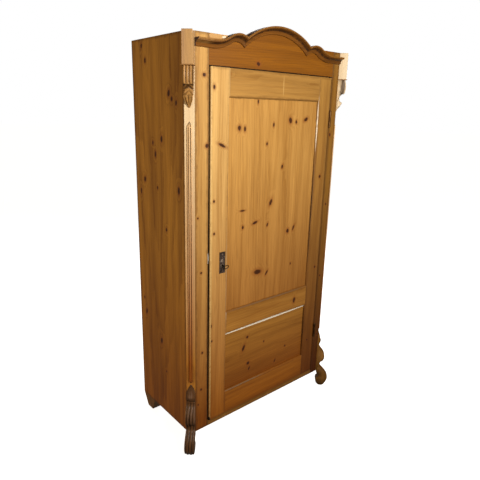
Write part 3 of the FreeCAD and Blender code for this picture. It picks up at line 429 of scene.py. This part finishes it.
# Consoles: three reeds over a plain bead, a row of petals, and a hanging leaf that comes to a point.
# Their carved pine is brown on the left and bleached on the right, black in the cuts.
CONSOLE = [(0, 1721, 1), (36, 1721, 1), (41, 1693, 0), (39.5, 1669, 0), (36, 1655, 1), (26, 1654, 1),
           (16, 1644, 0), (14, 1630, 0), (19, 1619, 0), (29.5, 1613, 1), (24, 1603, 0),
           (16, 1591, 0), (8, 1581, 0), (3, 1570, 1), (0, 1569, 1)]
CONSOLE_HALF, CONSOLE_REEDS = 0.019, 3
REED_DEPTH, RIB_DEPTH, PETAL_DEPTH = 0.0045, 0.0040, 0.0026
REED_FOOT, BEAD_FOOT, LEAF_TOP = 1.656, 1.640, 1.606
PETAL_HEIGHT = 0.0175
for side, tones, worn in (("left", ("C09254", "8C6026", "70481A"), "EACE98"),
                          ("right", ("F4E2C2", "D8BC8C", "B89058"), "FBEFD6")):
    shape = sawn("carved_console_" + side, CONSOLE, CONSOLE_HALF, 32)
    hollow = shape.verts.layers.float.new("hollow")
    for vert in shape.verts:
        out, up, across = vert.co
        round_reeds = across / (2 * CONSOLE_HALF) * math.pi * CONSOLE_REEDS
        reed, rib = abs(math.cos(round_reeds)), abs(math.sin(round_reeds))
        reed_part = smoothstep(REED_FOOT - 0.004, REED_FOOT + 0.004, up)
        leaf_part = 1.0 - smoothstep(LEAF_TOP, LEAF_TOP + 0.016, up)
        petal_part = (1 - reed_part) * (1 - leaf_part)
        petal_rise = (up - LEAF_TOP) / PETAL_HEIGHT + abs(across) / CONSOLE_HALF * 0.9
        petal = math.sin(petal_rise * math.pi) ** 2
        depth = (reed_part * (1 - reed ** 0.6) * REED_DEPTH
                 + leaf_part * (1 - rib ** 0.7) * RIB_DEPTH + petal_part * petal * PETAL_DEPTH)
        front = smoothstep(0.0, 0.010, out)
        edge_round = smoothstep(0.013, CONSOLE_HALF, abs(across))
        taper = 1.0 - 0.93 * (1.0 - smoothstep(1.560, 1.618, up)) ** 1.4
        vert.co.x = max(out - depth * front, 0.0) - front * edge_round * 0.003
        vert.co.z = across * taper
        bead_dirt = 0.5 if BEAD_FOOT < up < REED_FOOT else 0.0
        vert[hollow] = front * (depth / REED_DEPTH) * 1.1 + bead_dirt
    material = wood("carved pine, console " + side, tones, seed=20.0, pith=(-0.6, 0.1),
                    hollow=("3C2410", worn), streak=0.3)
    piece = set_on_cant("carved_console_" + side, shape, side, material)
    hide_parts("console_" + side)

# Lancet strips: a round bead between two fillets, pointed at the head. Their ground is dark with
# dirt, the bead and the fillets pale and waxed; painted shade, with some dirt, darkens them lower
# down.
LANCET = [(0, 358, 1), (-5.7, 360.3, 0), (-8, 366, 1), (-8, 1492, 1), (-5.8, 1507, 0), (0, 1518, 1),
          (5.8, 1507, 0), (8, 1492, 1), (8, 366, 1), (5.7, 360.3, 0)]
LANCET_HALF, LANCET_THICK, HEAD_BASE, HEAD_TALL = 0.008, 0.005, 1.492, 0.026
BEAD_HALF, BEAD_HIGH, FILLET_HIGH, GROUND_HIGH = 0.0042, 0.0045, 0.0038, 0.0006
COLUMNS = (-7.2, -6.2, -5.4, -4.6, -3.8, -3.0, -2.0, -1.0, 0.0, 1.0, 2.0, 3.0, 3.8, 4.6, 5.4, 6.2,
           7.2)
ROWS = list(range(380, 1490, 40)) + [1496, 1500, 1504, 1508, 1511, 1514]
for side in ("left", "right"):
    shape = sawn("carved_lancet_" + side, LANCET, LANCET_THICK / 2, 1)
    for level in COLUMNS:
        cut(shape, 0, level * mm)
    for level in ROWS:
        cut(shape, 1, level * mm)
    hollow = shape.verts.layers.float.new("hollow")
    for vert in shape.verts:
        across, up, out = vert.co
        out += LANCET_THICK / 2
        half = abs(across)
        bead = math.sqrt(max(0.0, 1 - (half / BEAD_HALF) ** 2)) * BEAD_HIGH
        fillet = smoothstep(0.0055, 0.0068, half) * FILLET_HIGH
        bead_end = smoothstep(1.486, 1.508, up) + 1 - smoothstep(0.360, 0.368, up)
        height = max(bead * (1 - bead_end), fillet, GROUND_HIGH)
        if out > 0.8 * LANCET_THICK:  # the strip's front, which is carved
            # Half the strip's width, less in its pointed head
            head = LANCET_HALF * (1 - max(0.0, (up - HEAD_BASE) / HEAD_TALL) ** 2)
            raised = height > 0.002 or (up > 1.494 and half < head - 0.0026)
            vert[hollow] = 0.0 if raised else 1.1
            out = height + 0.0008
        vert.co = (out, up, across)
    bmesh.ops.reverse_faces(shape, faces=shape.faces)
    material = wood("carved pine, lancet " + side, ("EFD0A0", "CB9852", "B88446"), seed=22.0,
                    pith=(-0.6, 0.1), hollow=("4A2A12", "F6DEB4"), streak=0.4,
                    low=("B87C3C", 0.45, 1.50))
    piece = set_on_cant("carved_lancet_" + side, shape, side, material, smooth=False)
    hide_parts("lancet_strip_" + side)

# Blocks and ledges: short ends of pine. The left block keeps a trace of plum stain, the right one is
# bleached; the ledges are plain and brown.
for side, seed, tones in (("left", 24.0, ("CCA266", "A07E48", "92746C")),
                          ("right", 25.0, ("F2E0BC", "DCC090", "CFAE80"))):
    finish("corner_block_" + side, wood("pine with plum stain, block " + side, tones,
                                        pith=(-0.7, 0.1), seed=seed, streak=0.35), ease=1.8)
    finish("block_ledge_" + side, wood("pine, ledge " + side, ("B98A54", "8A6030", "6E4A28"),
                                       along="X", pith=(0.3, 1.5), seed=seed + 2, streak=0.3),
           ease=0.8)

# ---- Feet
# The front feet are scroll feet of dark stained pine, carved with flutes and worn pale on the knee.
# The rear feet are plain tapered blocks under the back corners.

FOOT = [(0, 345, 1), (2, 345, 1), (12, 313, 0), (19.5, 286, 1), (16, 272, 0), (11.5, 261, 0),
        (15, 246, 0), (27, 230, 0), (42, 206, 0), (46, 185, 0), (45, 168, 0), (39, 158, 1),
        (28, 151, 0), (22, 137, 0), (24, 124, 0), (33, 112, 0), (46, 98, 0), (59, 83, 0),
        (68, 66, 0), (71, 50, 0), (70, 34, 0), (63, 20, 0), (55, 8, 0), (44, 1.2, 0), (30, 1.2, 0),
        (15, 7, 0), (4, 20, 0), (2, 32, 0), (5, 43, 0), (12, 52, 0), (15, 60, 0), (12, 72, 0),
        (4, 82, 0), (0, 95, 1)]
FOOT_HALF, FOOT_RIDGES, FLUTE_DEPTH = 0.0215, 3, 0.0055
NECK = 0.262  # height of the narrow neck between the flutes and the pointed bud above them
BUD_TALL = 0.083


def swell(middle, spread, up):
    """1 at one height, fading to 0 above and below it."""
    return math.exp(-((up - middle) / spread) ** 2)


# Stained pine feet: almost black in the flutes with a low shine, worn brown on the left one's
# ridges; the right one is lighter all over.
for side, tones, worn_colour in (("left", ("6A482A", "402814", "301C10"), "7E6250"),
                                 ("right", ("8E6228", "5E3C12", "4A2E0E"), "A8783C")):
    shape = sawn("carved_foot_" + side, FOOT, FOOT_HALF, 36)
    hollow = shape.verts.layers.float.new("hollow")
    for vert in shape.verts:
        out, up, across = vert.co
        from_middle = abs(across) / FOOT_HALF
        flute = abs(math.sin(across / (2 * FOOT_HALF) * math.pi * FOOT_RIDGES))
        reach = smoothstep(0.012, 0.026, out) if up < 0.12 else smoothstep(0.0, 0.010, out)
        if up > NECK:
            fold = abs(math.sin((up - NECK) / BUD_TALL * math.pi * 2))
            depth = from_middle * 0.004 + (1 - fold) * 0.001
        else:
            depth = (1 - flute ** 0.7) * FLUTE_DEPTH * (1 - smoothstep(0.250, NECK, up))
        edge_round = smoothstep(0.014, FOOT_HALF, abs(across)) * 0.005
        if out > 0.008 or up > 0.095:  # the face against the case stays flat
            vert.co.x = out - (depth + edge_round) * reach
        taper = 1.0 - 0.85 * smoothstep(0.300, 0.352, up) ** 1.3
        waist = 1.0 - 0.10 * swell(NECK, 0.010, up) - 0.07 * swell(0.135, 0.025, up)
        vert.co.z = across * taper * waist
        worn = 0.75 * swell(0.300, 0.024, up) + 0.45 * swell(0.205, 0.04, up)
        vert[hollow] = depth / FLUTE_DEPTH * 1.1 - worn * (0.4 + 0.6 * flute)
    material = wood("stained pine, scroll foot " + side, tones, seed=30.0, pith=(-0.6, 0.1),
                    hollow=("1C100A", worn_colour), streak=0.8, rough=0.38)
    piece = set_on_cant("carved_foot_" + side, shape, side, material)
    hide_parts("foot_front_" + side)
for side, seed in (("left", 32.0), ("right", 33.0)):
    finish("foot_rear_" + side, wood("stained pine, rear foot " + side,
                                     ("8E6228", "5A380E", "4A2E0C"), face="X", pith=(0.5, 0.1),
                                     seed=seed), ease=2)

# ---- Inside: shelf, cleats, clothes rod and door stops
# Plain unwaxed pine, with a turned beech rod in pine sockets. The stops are laths nailed behind the
# face frame.

# Raw pine: pale and matt, since no light or wax has reached it.
for name, along, face, seed in (("hat_shelf", "X", "Z", 40.0), ("shelf_cleat_left", "Y", "X", 41.0),
                                ("shelf_cleat_right", "Y", "X", 42.0),
                                ("rod_socket_left", "Y", "X", 43.0),
                                ("rod_socket_right", "Y", "X", 44.0),
                                ("door_stop_left", "Z", "Y", 45.0),
                                ("door_stop_top", "X", "Y", 46.0)):
    finish(name, wood("raw pine, " + name, ("D8B684", "AC8250", "A27C50"), along=along, face=face,
                      pith=(0.35, 0.12), seed=seed, rough=0.6), ease=1)
# Turned beech: close-grained, pinkish, and polished by coat hangers.
finish("clothes_rod", wood("turned beech, clothes rod", ("D9B48A", "BC9060", "C49A6C"), along="X",
                           pith=(1.4, 0.1), seed=47.0, rings=4, streak=0.35, rough=0.38), ease=1)

# ---- Door
# A framed door of honey pine: two stiles, three rails and two sunk panels of thinner boards, all
# waxed. The frame's edges are rubbed pale where hands and dusters catch them, and carry painted
# highlights and painted shadows along its gaps and the panels' edges.

DOOR_TONES = ("E8BC74", "B07A34", "966422")
# Painted shade, with some wax and dirt: the door's boards darken towards the floor
DOOR_LOW_SHADE_AND_DIRT = ("C0904A", 0.15, 1.35)
FRAME_FRONT, SKIN = -194, 7  # the frame's front and how deep a mark on it goes, in mm
PANEL_FRONT, PANEL_SKIN = -185, 5

# Honey pine lock stile: the brightest board, black on its edge in the door's gap, a painted shadow,
# and pale on its arris, rubbed and with a painted highlight; painted shade, with some dirt, darkens
# its foot.
finish("door_stile_left",
       wood("honey pine, lock stile", DOOR_TONES, pith=(-0.32, -0.28), seed=50.0,
            knots=[(-336, 1651, 6, 9, 0), (-293, 1423, 20, 6, 0.4), (-333, 1192, 5, 6, 0),
                   (-331, 1050, 5, 6, 0), (-343, 616, 4, 8, 0), (-340, 540, 5, 5, 0)],
            board=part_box("door_stile_left"), low=DOOR_LOW_SHADE_AND_DIRT, edge=0.3,
            # Painted shadow: the edge inside the door's gap is painted black
            marks=[((-354.5, -172.5, 920), (3.8, 21, 1100), "1E1008", 2.4),
                   # Rubbed wear and a painted highlight: a pale line along the arris
                   ((-348, -193.5, 920), (5.5, 4, 1200), "F2CC84", 0.55),
                   ((-257.5, FRAME_FRONT, 860), (3.4, SKIN, 260), "C0B09A", 1.2),
                   ((-257.5, FRAME_FRONT, 400), (2.0, SKIN, 150), "7A6244", 0.9),
                   # Painted shadow: black at the lower corner, where the gap turns round the door
                   ((-354, FRAME_FRONT, 118), (10, SKIN, 24), "1A0E06", 3.0)]), ease=2.5)

# Honey pine hinge stile: browner, with a cream painted highlight on its inner edge beside the panel's
# top, dark lines of painted shadow along that edge lower down, and painted shade, with some dirt,
# towards the floor.
finish("door_stile_right",
       wood("honey pine, hinge stile", ("C5964B", "966422", "80521A"), pith=(0.33, -0.28),
            seed=51.0, knots=[(340, 1250, 7, 8, 0), (352, 760, 6, 7, 0), (330, 330, 5, 6, 0)],
            board=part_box("door_stile_right"), low=("A07238", 0.1, 1.9), edge=0.3,
            # Painted highlight: cream on the inner edge beside the upper panel's top
            marks=[((295.5, FRAME_FRONT, 1500), (3.5, SKIN, 150), "F2E4CC", 0.95),
                   # Painted shadow: dark lines along the inner edge beside both panels
                   ((294.5, FRAME_FRONT, 1050), (2.2, SKIN, 420), "2A1C18", 1.6),
                   ((294.5, FRAME_FRONT, 400), (2.2, SKIN, 160), "3A200C", 1.2)]))

# Honey pine rails: the grain runs across; the middle one has a cream line along its lower edge, a
# painted highlight. Painted shade, with some dirt, darkens them towards the floor.
for name, seed, tones, knots, marks in (
        ("door_rail_top", 52.0, ("B88A46", "8A5A20", "785018"), [(-280, 1707, 16, 5, 0.1)],
         [((50, FRAME_FRONT, 1672), (4, SKIN, 50), "D0A866", 0.6)]),
        ("door_rail_middle", 53.0, ("E2B45E", "AA7428", "90601A"), [(203, 604, 8, 16, 0.1)],
         # Painted highlight: the cream line along the middle rail's lower edge
         [((20, FRAME_FRONT, 552.5), (330, SKIN, 3.4), "FBF6EC", 3.0),
          ((20, FRAME_FRONT, 660.5), (320, SKIN, 3.0), "7A5C3E", 1.2)]),
        ("door_rail_bottom", 54.0, ("E2B45E", "AA7428", "90601A"), [],
         [((-140, FRAME_FRONT, 240.5), (170, SKIN, 2.6), "7A6850", 0.9)])):
    lowest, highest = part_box(name)
    finish(name, wood("honey pine, " + name, tones, along="X",
                      pith=((lowest[2] + highest[2]) / 2 + 0.03, -0.26), seed=seed, knots=knots,
                      board=(lowest, highest), edge=0.3, marks=marks, streak=0.5, low=DOOR_LOW_SHADE_AND_DIRT))

# Honey pine upper panel: three boards with fine joints, full of knots; painted shade, with some dirt,
# darkens its foot.
finish("door_panel_upper",
       wood("honey pine, upper panel", ("D2A056", "9A6522", "8C5A18"), pith=(0.05, -0.35),
            seed=56.0, rings=10, low=DOOR_LOW_SHADE_AND_DIRT, edge=0.5, board=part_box("door_panel_upper"),
            knots=[(-90, 1602, 4, 9, 0), (-193, 1492, 9, 11, 0), (-162, 1488, 6, 11, 0),
                   (9, 1505, 5, 9, 0), (116, 1525, 10, 14, -0.3), (155, 1518, 6, 8, 0),
                   (221, 1530, 14, 8, -0.5), (-29, 1422, 5, 7, 0), (75, 1314, 6, 10, 0.2),
                   (10, 1150, 8, 17, 0.35), (-164, 1130, 14, 4, 0), (-86, 1064, 16, 6, -0.3),
                   (-6, 1044, 5, 10, 0.3), (-160, 1052, 6, 8, 0), (135, 992, 9, 11, 0),
                   (175, 1002, 5, 15, 0.4), (-59, 816, 24, 12, 0.1), (1, 799, 5, 14, 0.6),
                   (169, 813, 4, 6, 0)],
            marks=[((-75, PANEL_FRONT, 1150), (1.2, PANEL_SKIN, 500), "6E4014", 0.6),
                   ((115, PANEL_FRONT, 1150), (1.2, PANEL_SKIN, 500), "6E4014", 0.6)]), ease=0)

# Amber pine lower panel: the grain runs across, darker, under the same cream line, a painted
# highlight; a painted shadow runs down its right edge, and painted shade, with some dirt, darkens its
# foot.
finish("door_panel_lower",
       wood("amber pine, lower panel", ("C08A3C", "8C5C20", "7A4C14"), along="X",
            pith=(0.42, -0.30), seed=57.0, rings=9, board=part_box("door_panel_lower"), edge=0.4,
            streak=0.45, low=("D2A468", 0.2, 0.6),
            knots=[(-111, 484, 7, 7, 0), (-135, 431, 8, 17, 0.4), (3, 423, 4, 6, 0),
                   (162, 344, 5, 6, 0), (-102, 335, 10, 9, 0), (-94, 303, 5, 11, 0.5),
                   (89, 280, 4, 12, 0.4)],
            # Painted highlight: the cream line along the panel's top
            marks=[((20, PANEL_FRONT, 544), (330, PANEL_SKIN, 4.6), "FBF2E0", 3.0),
                   # Painted shadow: a dark band down the right edge, in the recess
                   ((294, PANEL_FRONT, 400), (4, PANEL_SKIN, 200), "4A2A10", 1.0)]), ease=0)

# ---- Lock, key and hinges
# A wrought iron rim lock, its bolt bright from rubbing, a steel key, a pressed plate of bronzed iron
# round the keyhole, and two browned iron butt hinges with screws.


def iron(name, base, worn, rough, metallic=1.0, spots=None):
    """Forged or pressed metal: worn bright where it is rubbed, dull in between, with spots of rust."""
    material = bpy.data.materials.new(name)
    material.use_nodes = True
    tree = material.node_tree
    shader = tree.nodes["Principled BSDF"]
    place = add(tree, "TexCoord", give="Object")
    # Rubbed and dull patches, about 18 mm across
    patches = add(tree, "TexNoise", {"Vector": place, "Scale": 1 / (18.18 * mm), "Detail": 4.0,
                                     "Roughness": 0.65})
    cover = add(tree, "MapRange", [patches, 0.42, 0.66, 0.0, 1.0])
    colour = add(tree, "Mix", {AMOUNT: cover, UNDER: linear(base), OVER: linear(worn)},
                 data_type="RGBA")
    if spots:  # rust in spots of about 4 mm
        rust = add(tree, "TexNoise", {"Vector": place, "Scale": 1 / (4.167 * mm), "Detail": 2.0})
        rust = add(tree, "MapRange", [rust, 0.55, 0.68, 0.0, 0.8])
        colour = add(tree, "Mix", {AMOUNT: rust, UNDER: colour, OVER: linear(spots)},
                     data_type="RGBA")
    tree.links.new(colour, shader.inputs["Base Color"])
    # The hammer's and file's pits are finer; drawn 1.1 mm apart, to show
    fine = add(tree, "TexNoise", {"Vector": place, "Scale": 1 / (1.111 * mm), "Detail": 2.0})
    dull = add(tree, "MapRange", [fine, 0.3, 0.7, rough - 0.08, rough + 0.12])
    tree.links.new(dull, shader.inputs["Roughness"])
    pits = add(tree, "Bump", {"Height": fine, "Strength": 0.4, "Distance": 0.3 * mm})
    tree.links.new(pits, shader.inputs["Normal"])
    shader.inputs["Metallic"].default_value = metallic
    return material


# Browned iron hinges: dark and rusty. Wrought iron lock and screws: grey, with brown spots.
hinge_iron = iron("browned iron", "54381E", "7A5E40", 0.5, spots="5A3018")
for name in ("hinge_upper_door_leaf", "hinge_lower_door_leaf", "hinge_upper_case_leaf",
             "hinge_lower_case_leaf", "hinge_pins"):
    finish(name, hinge_iron, ease=0)
lock_iron = iron("wrought iron", "55504A", "8A847C", 0.45, spots="4A3020")
for name in ("lock_case", "door_screws", "case_screws"):
    finish(name, lock_iron, ease=0)
# Rubbed steel bolt and strike: pale, because they polish each other. The plate and its pins: bronzed.
bright_steel = iron("rubbed steel", "DCD8D0", "F8F4EE", 0.45, metallic=0.3)
for name in ("lock_bolt", "strike_plate"):
    finish(name, bright_steel, ease=0.4)
finish("escutcheon_nails", iron("bronzed pin", "4A4038", "A89A88", 0.4), ease=0)
finish("escutcheon", iron("bronzed iron, keyhole plate", "4E403A", "7C6C64", 0.50, metallic=0.7,
                          spots="241812"), ease=0.6)


def loose_verts(shape):
    """What has been added to a bmesh and not yet put in its place."""
    return [vert for vert in shape.verts if not vert.tag]


def put(shape, place, turn=None):
    """Turns what is loose in a bmesh and puts it in its place."""
    loose = loose_verts(shape)
    matrix = Matrix.Translation(place) @ (turn or Matrix.Identity(4))
    bmesh.ops.transform(shape, matrix=matrix, verts=loose)
    for vert in loose:
        vert.tag = True


def ring(shape, radius, wire, turn, place, steps, stretch=1.0):
    """A closed ring of round wire, spun about its own axis."""
    to_side = Matrix.Translation((radius, 0, 0)) @ Matrix.Rotation(math.pi / 2, 4, "X")
    section = bmesh.ops.create_circle(shape, segments=12, radius=wire, matrix=to_side)["verts"]
    edges = list({edge for vert in section for edge in vert.link_edges})
    bmesh.ops.spin(shape, geom=section + edges, cent=(0, 0, 0), axis=(0, 0, 1),
                   angle=2 * math.pi, steps=steps, use_merge=True)
    bmesh.ops.remove_doubles(shape, verts=loose_verts(shape), dist=0.01 * mm)
    bmesh.ops.scale(shape, vec=(1.0, stretch, 1.0), verts=loose_verts(shape))
    put(shape, place, turn)


def settle(name, shape, material, body, slot, *replaced):
    """Makes a finished bmesh a piece that rides on a body."""
    bmesh.ops.recalc_face_normals(shape, faces=shape.faces)
    mesh = bpy.data.meshes.new(name)
    shape.to_mesh(mesh)
    shape.free()
    for face in mesh.polygons:
        face.use_smooth = True
    mesh.set_sharp_from_angle(angle=math.radians(38))
    piece = bpy.data.objects.new(name, mesh)
    bpy.context.scene.collection.objects.link(piece)
    mesh.materials.append(material)
    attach(piece, body)
    if replaced:
        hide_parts(*replaced)


# The plate's pressed relief: a ring round the keyhole, three diamonds, eight beads and an oval boss.
key_joint = next(joint for joint in frame["joints"] if joint["name"] == "key_turn")
KEY_X, KEY_Z = key_joint["pos_m"][0], key_joint["pos_m"][2]
PLATE_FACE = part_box("escutcheon")[0][1]  # the rim's front; the field lies 1 mm behind it
FLAT_ON_FACE = Matrix.Rotation(math.pi / 2, 4, "X")
BEADS_UP, BEAD_ROWS, BEAD_STEP, BEAD_ASIDE, BEAD = 0.883, 4, 0.018, 0.0098, 0.0011
shape = bmesh.new()
ring(shape, 0.0072, 0.0010, FLAT_ON_FACE, (KEY_X, PLATE_FACE + 0.0008, KEY_Z), 28)
for height, size in ((0.950, 0.0058), (0.936, 0.0036), (0.872, 0.0058)):
    bmesh.ops.create_cone(shape, cap_ends=True, segments=4, radius1=size, radius2=size * 0.25,
                          depth=0.0014)
    put(shape, (KEY_X, PLATE_FACE + 0.0006, height), FLAT_ON_FACE)
for row in range(BEAD_ROWS):
    for side in (-1, 1):
        bmesh.ops.create_uvsphere(shape, u_segments=8, v_segments=6, radius=BEAD)
        put(shape, (KEY_X + side * BEAD_ASIDE, PLATE_FACE + 0.0009, BEADS_UP + BEAD_STEP * row))
bmesh.ops.create_uvsphere(shape, u_segments=16, v_segments=10, radius=0.0062)
bmesh.ops.scale(shape, vec=(1.0, 0.24, 1.35), verts=loose_verts(shape))
put(shape, (KEY_X, PLATE_FACE + 0.0010, 0.920))
settle("keyhole_plate_relief", shape,
       iron("rubbed bronze, keyhole plate", "7A6454", "D0BEAC", 0.38, metallic=0.7),
       "door", "dark_bronze")

# The key: an oval bow of drawn wire, a turned collar with two rings, a round shank and a cut bit.
# Its steel is blackened, with a low shine.
BOW_TURN = Matrix.Rotation(math.radians(-30), 4, "Y")
BOW_Y, BIT_Y, BIT_OUT = -0.2238, -0.1812, 0.0075
shape = bmesh.new()
ring(shape, 0.0112, 0.0020, BOW_TURN, (KEY_X, BOW_Y, KEY_Z), 48, stretch=0.90)
for start, length, radius_front, radius_back in (
        (-0.2155, 0.0030, 0.0022, 0.0036), (-0.2125, 0.0030, 0.0036, 0.0030),
        (-0.2095, 0.0290, 0.0030, 0.0030), (-0.2022, 0.0020, 0.0048, 0.0048),
        (-0.1995, 0.0012, 0.0040, 0.0040)):
    bmesh.ops.create_cone(shape, cap_ends=True, segments=24, radius1=radius_front,
                          radius2=radius_back, depth=length)
    put(shape, (KEY_X, start + length / 2, KEY_Z), Matrix.Rotation(-math.pi / 2, 4, "X"))
bmesh.ops.create_cube(shape, size=1.0, matrix=Matrix.Diagonal((0.013, 0.008, 0.003, 1.0)))
put(shape, Vector((KEY_X, BIT_Y, KEY_Z)) + BOW_TURN @ Vector((BIT_OUT, 0.0, 0.0)), BOW_TURN)
settle("door_key", shape, iron("blackened steel, key", "3A362E", "6A6458", 0.42), "key", "lock_iron",
       "key")

# ---- Floor, light and camera
# A plain pale floor, one soft lamp above and beside the camera, a wide one behind, a warm one on the
# left, and an even pale surround.

# White paper: matt, lit from within so that it stays even and takes no shadow from the piece.
ground = bmesh.new()
bmesh.ops.create_grid(ground, x_segments=1, y_segments=1, size=40.0)
floor_mesh = bpy.data.meshes.new("floor")
ground.to_mesh(floor_mesh)
ground.free()
floor = bpy.data.objects.new("floor", floor_mesh)
bpy.context.scene.collection.objects.link(floor)
paper = bpy.data.materials.new("white paper")
paper.use_nodes = True
tree = paper.node_tree
shader = tree.nodes["Principled BSDF"]
place = add(tree, "TexCoord", give="Object")
# Its slight unevenness is about 330 mm across
mottling = add(tree, "TexNoise", {"Vector": place, "Scale": 1 / (333.3 * mm)})
tone = add(tree, "Mix", {AMOUNT: mottling, UNDER: linear("FAFAFA"), OVER: linear("F4F4F3")},
           data_type="RGBA")
tree.links.new(tone, shader.inputs["Base Color"])
shader.inputs["Roughness"].default_value = 0.9
shader.inputs["Emission Color"].default_value = linear("FFFFFF")
shader.inputs["Emission Strength"].default_value = 0.90
floor.visible_diffuse = floor.visible_glossy = False
floor_mesh.materials.append(paper)

for name, place, aim, size, power, tint in (
        ("key lamp", (-0.38, -2.02, 1.95), (-0.20, -0.2, 1.3), 0.45, 46.0, "FFF6EA"),
        ("back lamp", (2.4, 2.2, 2.2), (0.0, 0.0, 1.0), 2.0, 60.0, "F8F6F8"),
        ("left fill", (-3.0, 0.5, 1.1), (-0.4, 0.0, 0.9), 1.6, 25.0, "FFDCA4")):
    light = bpy.data.lights.new(name, "AREA")
    light.size, light.energy, light.color = size, power, linear(tint)[:3]
    lamp = bpy.data.objects.new(name, light)
    lamp.location = place
    lamp.rotation_euler = (Vector(aim) - Vector(place)).to_track_quat("-Z", "Y").to_euler()
    bpy.context.scene.collection.objects.link(lamp)

# The surround lights the piece softly and warmly, and is white where it is seen.
world = bpy.data.worlds.new("pale surround")
bpy.context.scene.world = world
world.use_nodes = True
tree = world.node_tree
soft = tree.nodes["Background"]
soft.inputs["Color"].default_value = linear("FFF0DC")
soft.inputs["Strength"].default_value = 0.14
seen = add(tree, "LightPath")
clear = add(tree, "Background", {"Color": linear("FFFFFF")})
either = add(tree, "MixShader", [seen, soft.outputs[0], clear])
tree.links.new(either, tree.nodes["World Output"].inputs["Surface"])
bpy.context.scene.view_settings.view_transform = "Standard"

EYE = Vector((-1.476, -1.707, 1.565))
yaw, pitch, roll = (math.radians(angle) for angle in (40.50, 15.88, 1.43))
ahead = Vector((math.sin(yaw) * math.cos(pitch), math.cos(yaw) * math.cos(pitch), -math.sin(pitch)))
level_right = Vector((math.cos(yaw), -math.sin(yaw), 0.0))
level_up = level_right.cross(ahead)
right = math.cos(roll) * level_right + math.sin(roll) * level_up
up = -math.sin(roll) * level_right + math.cos(roll) * level_up
lens = bpy.data.cameras.new("camera")
lens.sensor_width, lens.lens = 36.0, 34.2
camera = bpy.data.objects.new("camera", lens)
camera.matrix_world = Matrix.Translation(EYE) @ Matrix((right, up, -ahead)).transposed().to_4x4()
bpy.context.scene.collection.objects.link(camera)
bpy.context.scene.camera = camera
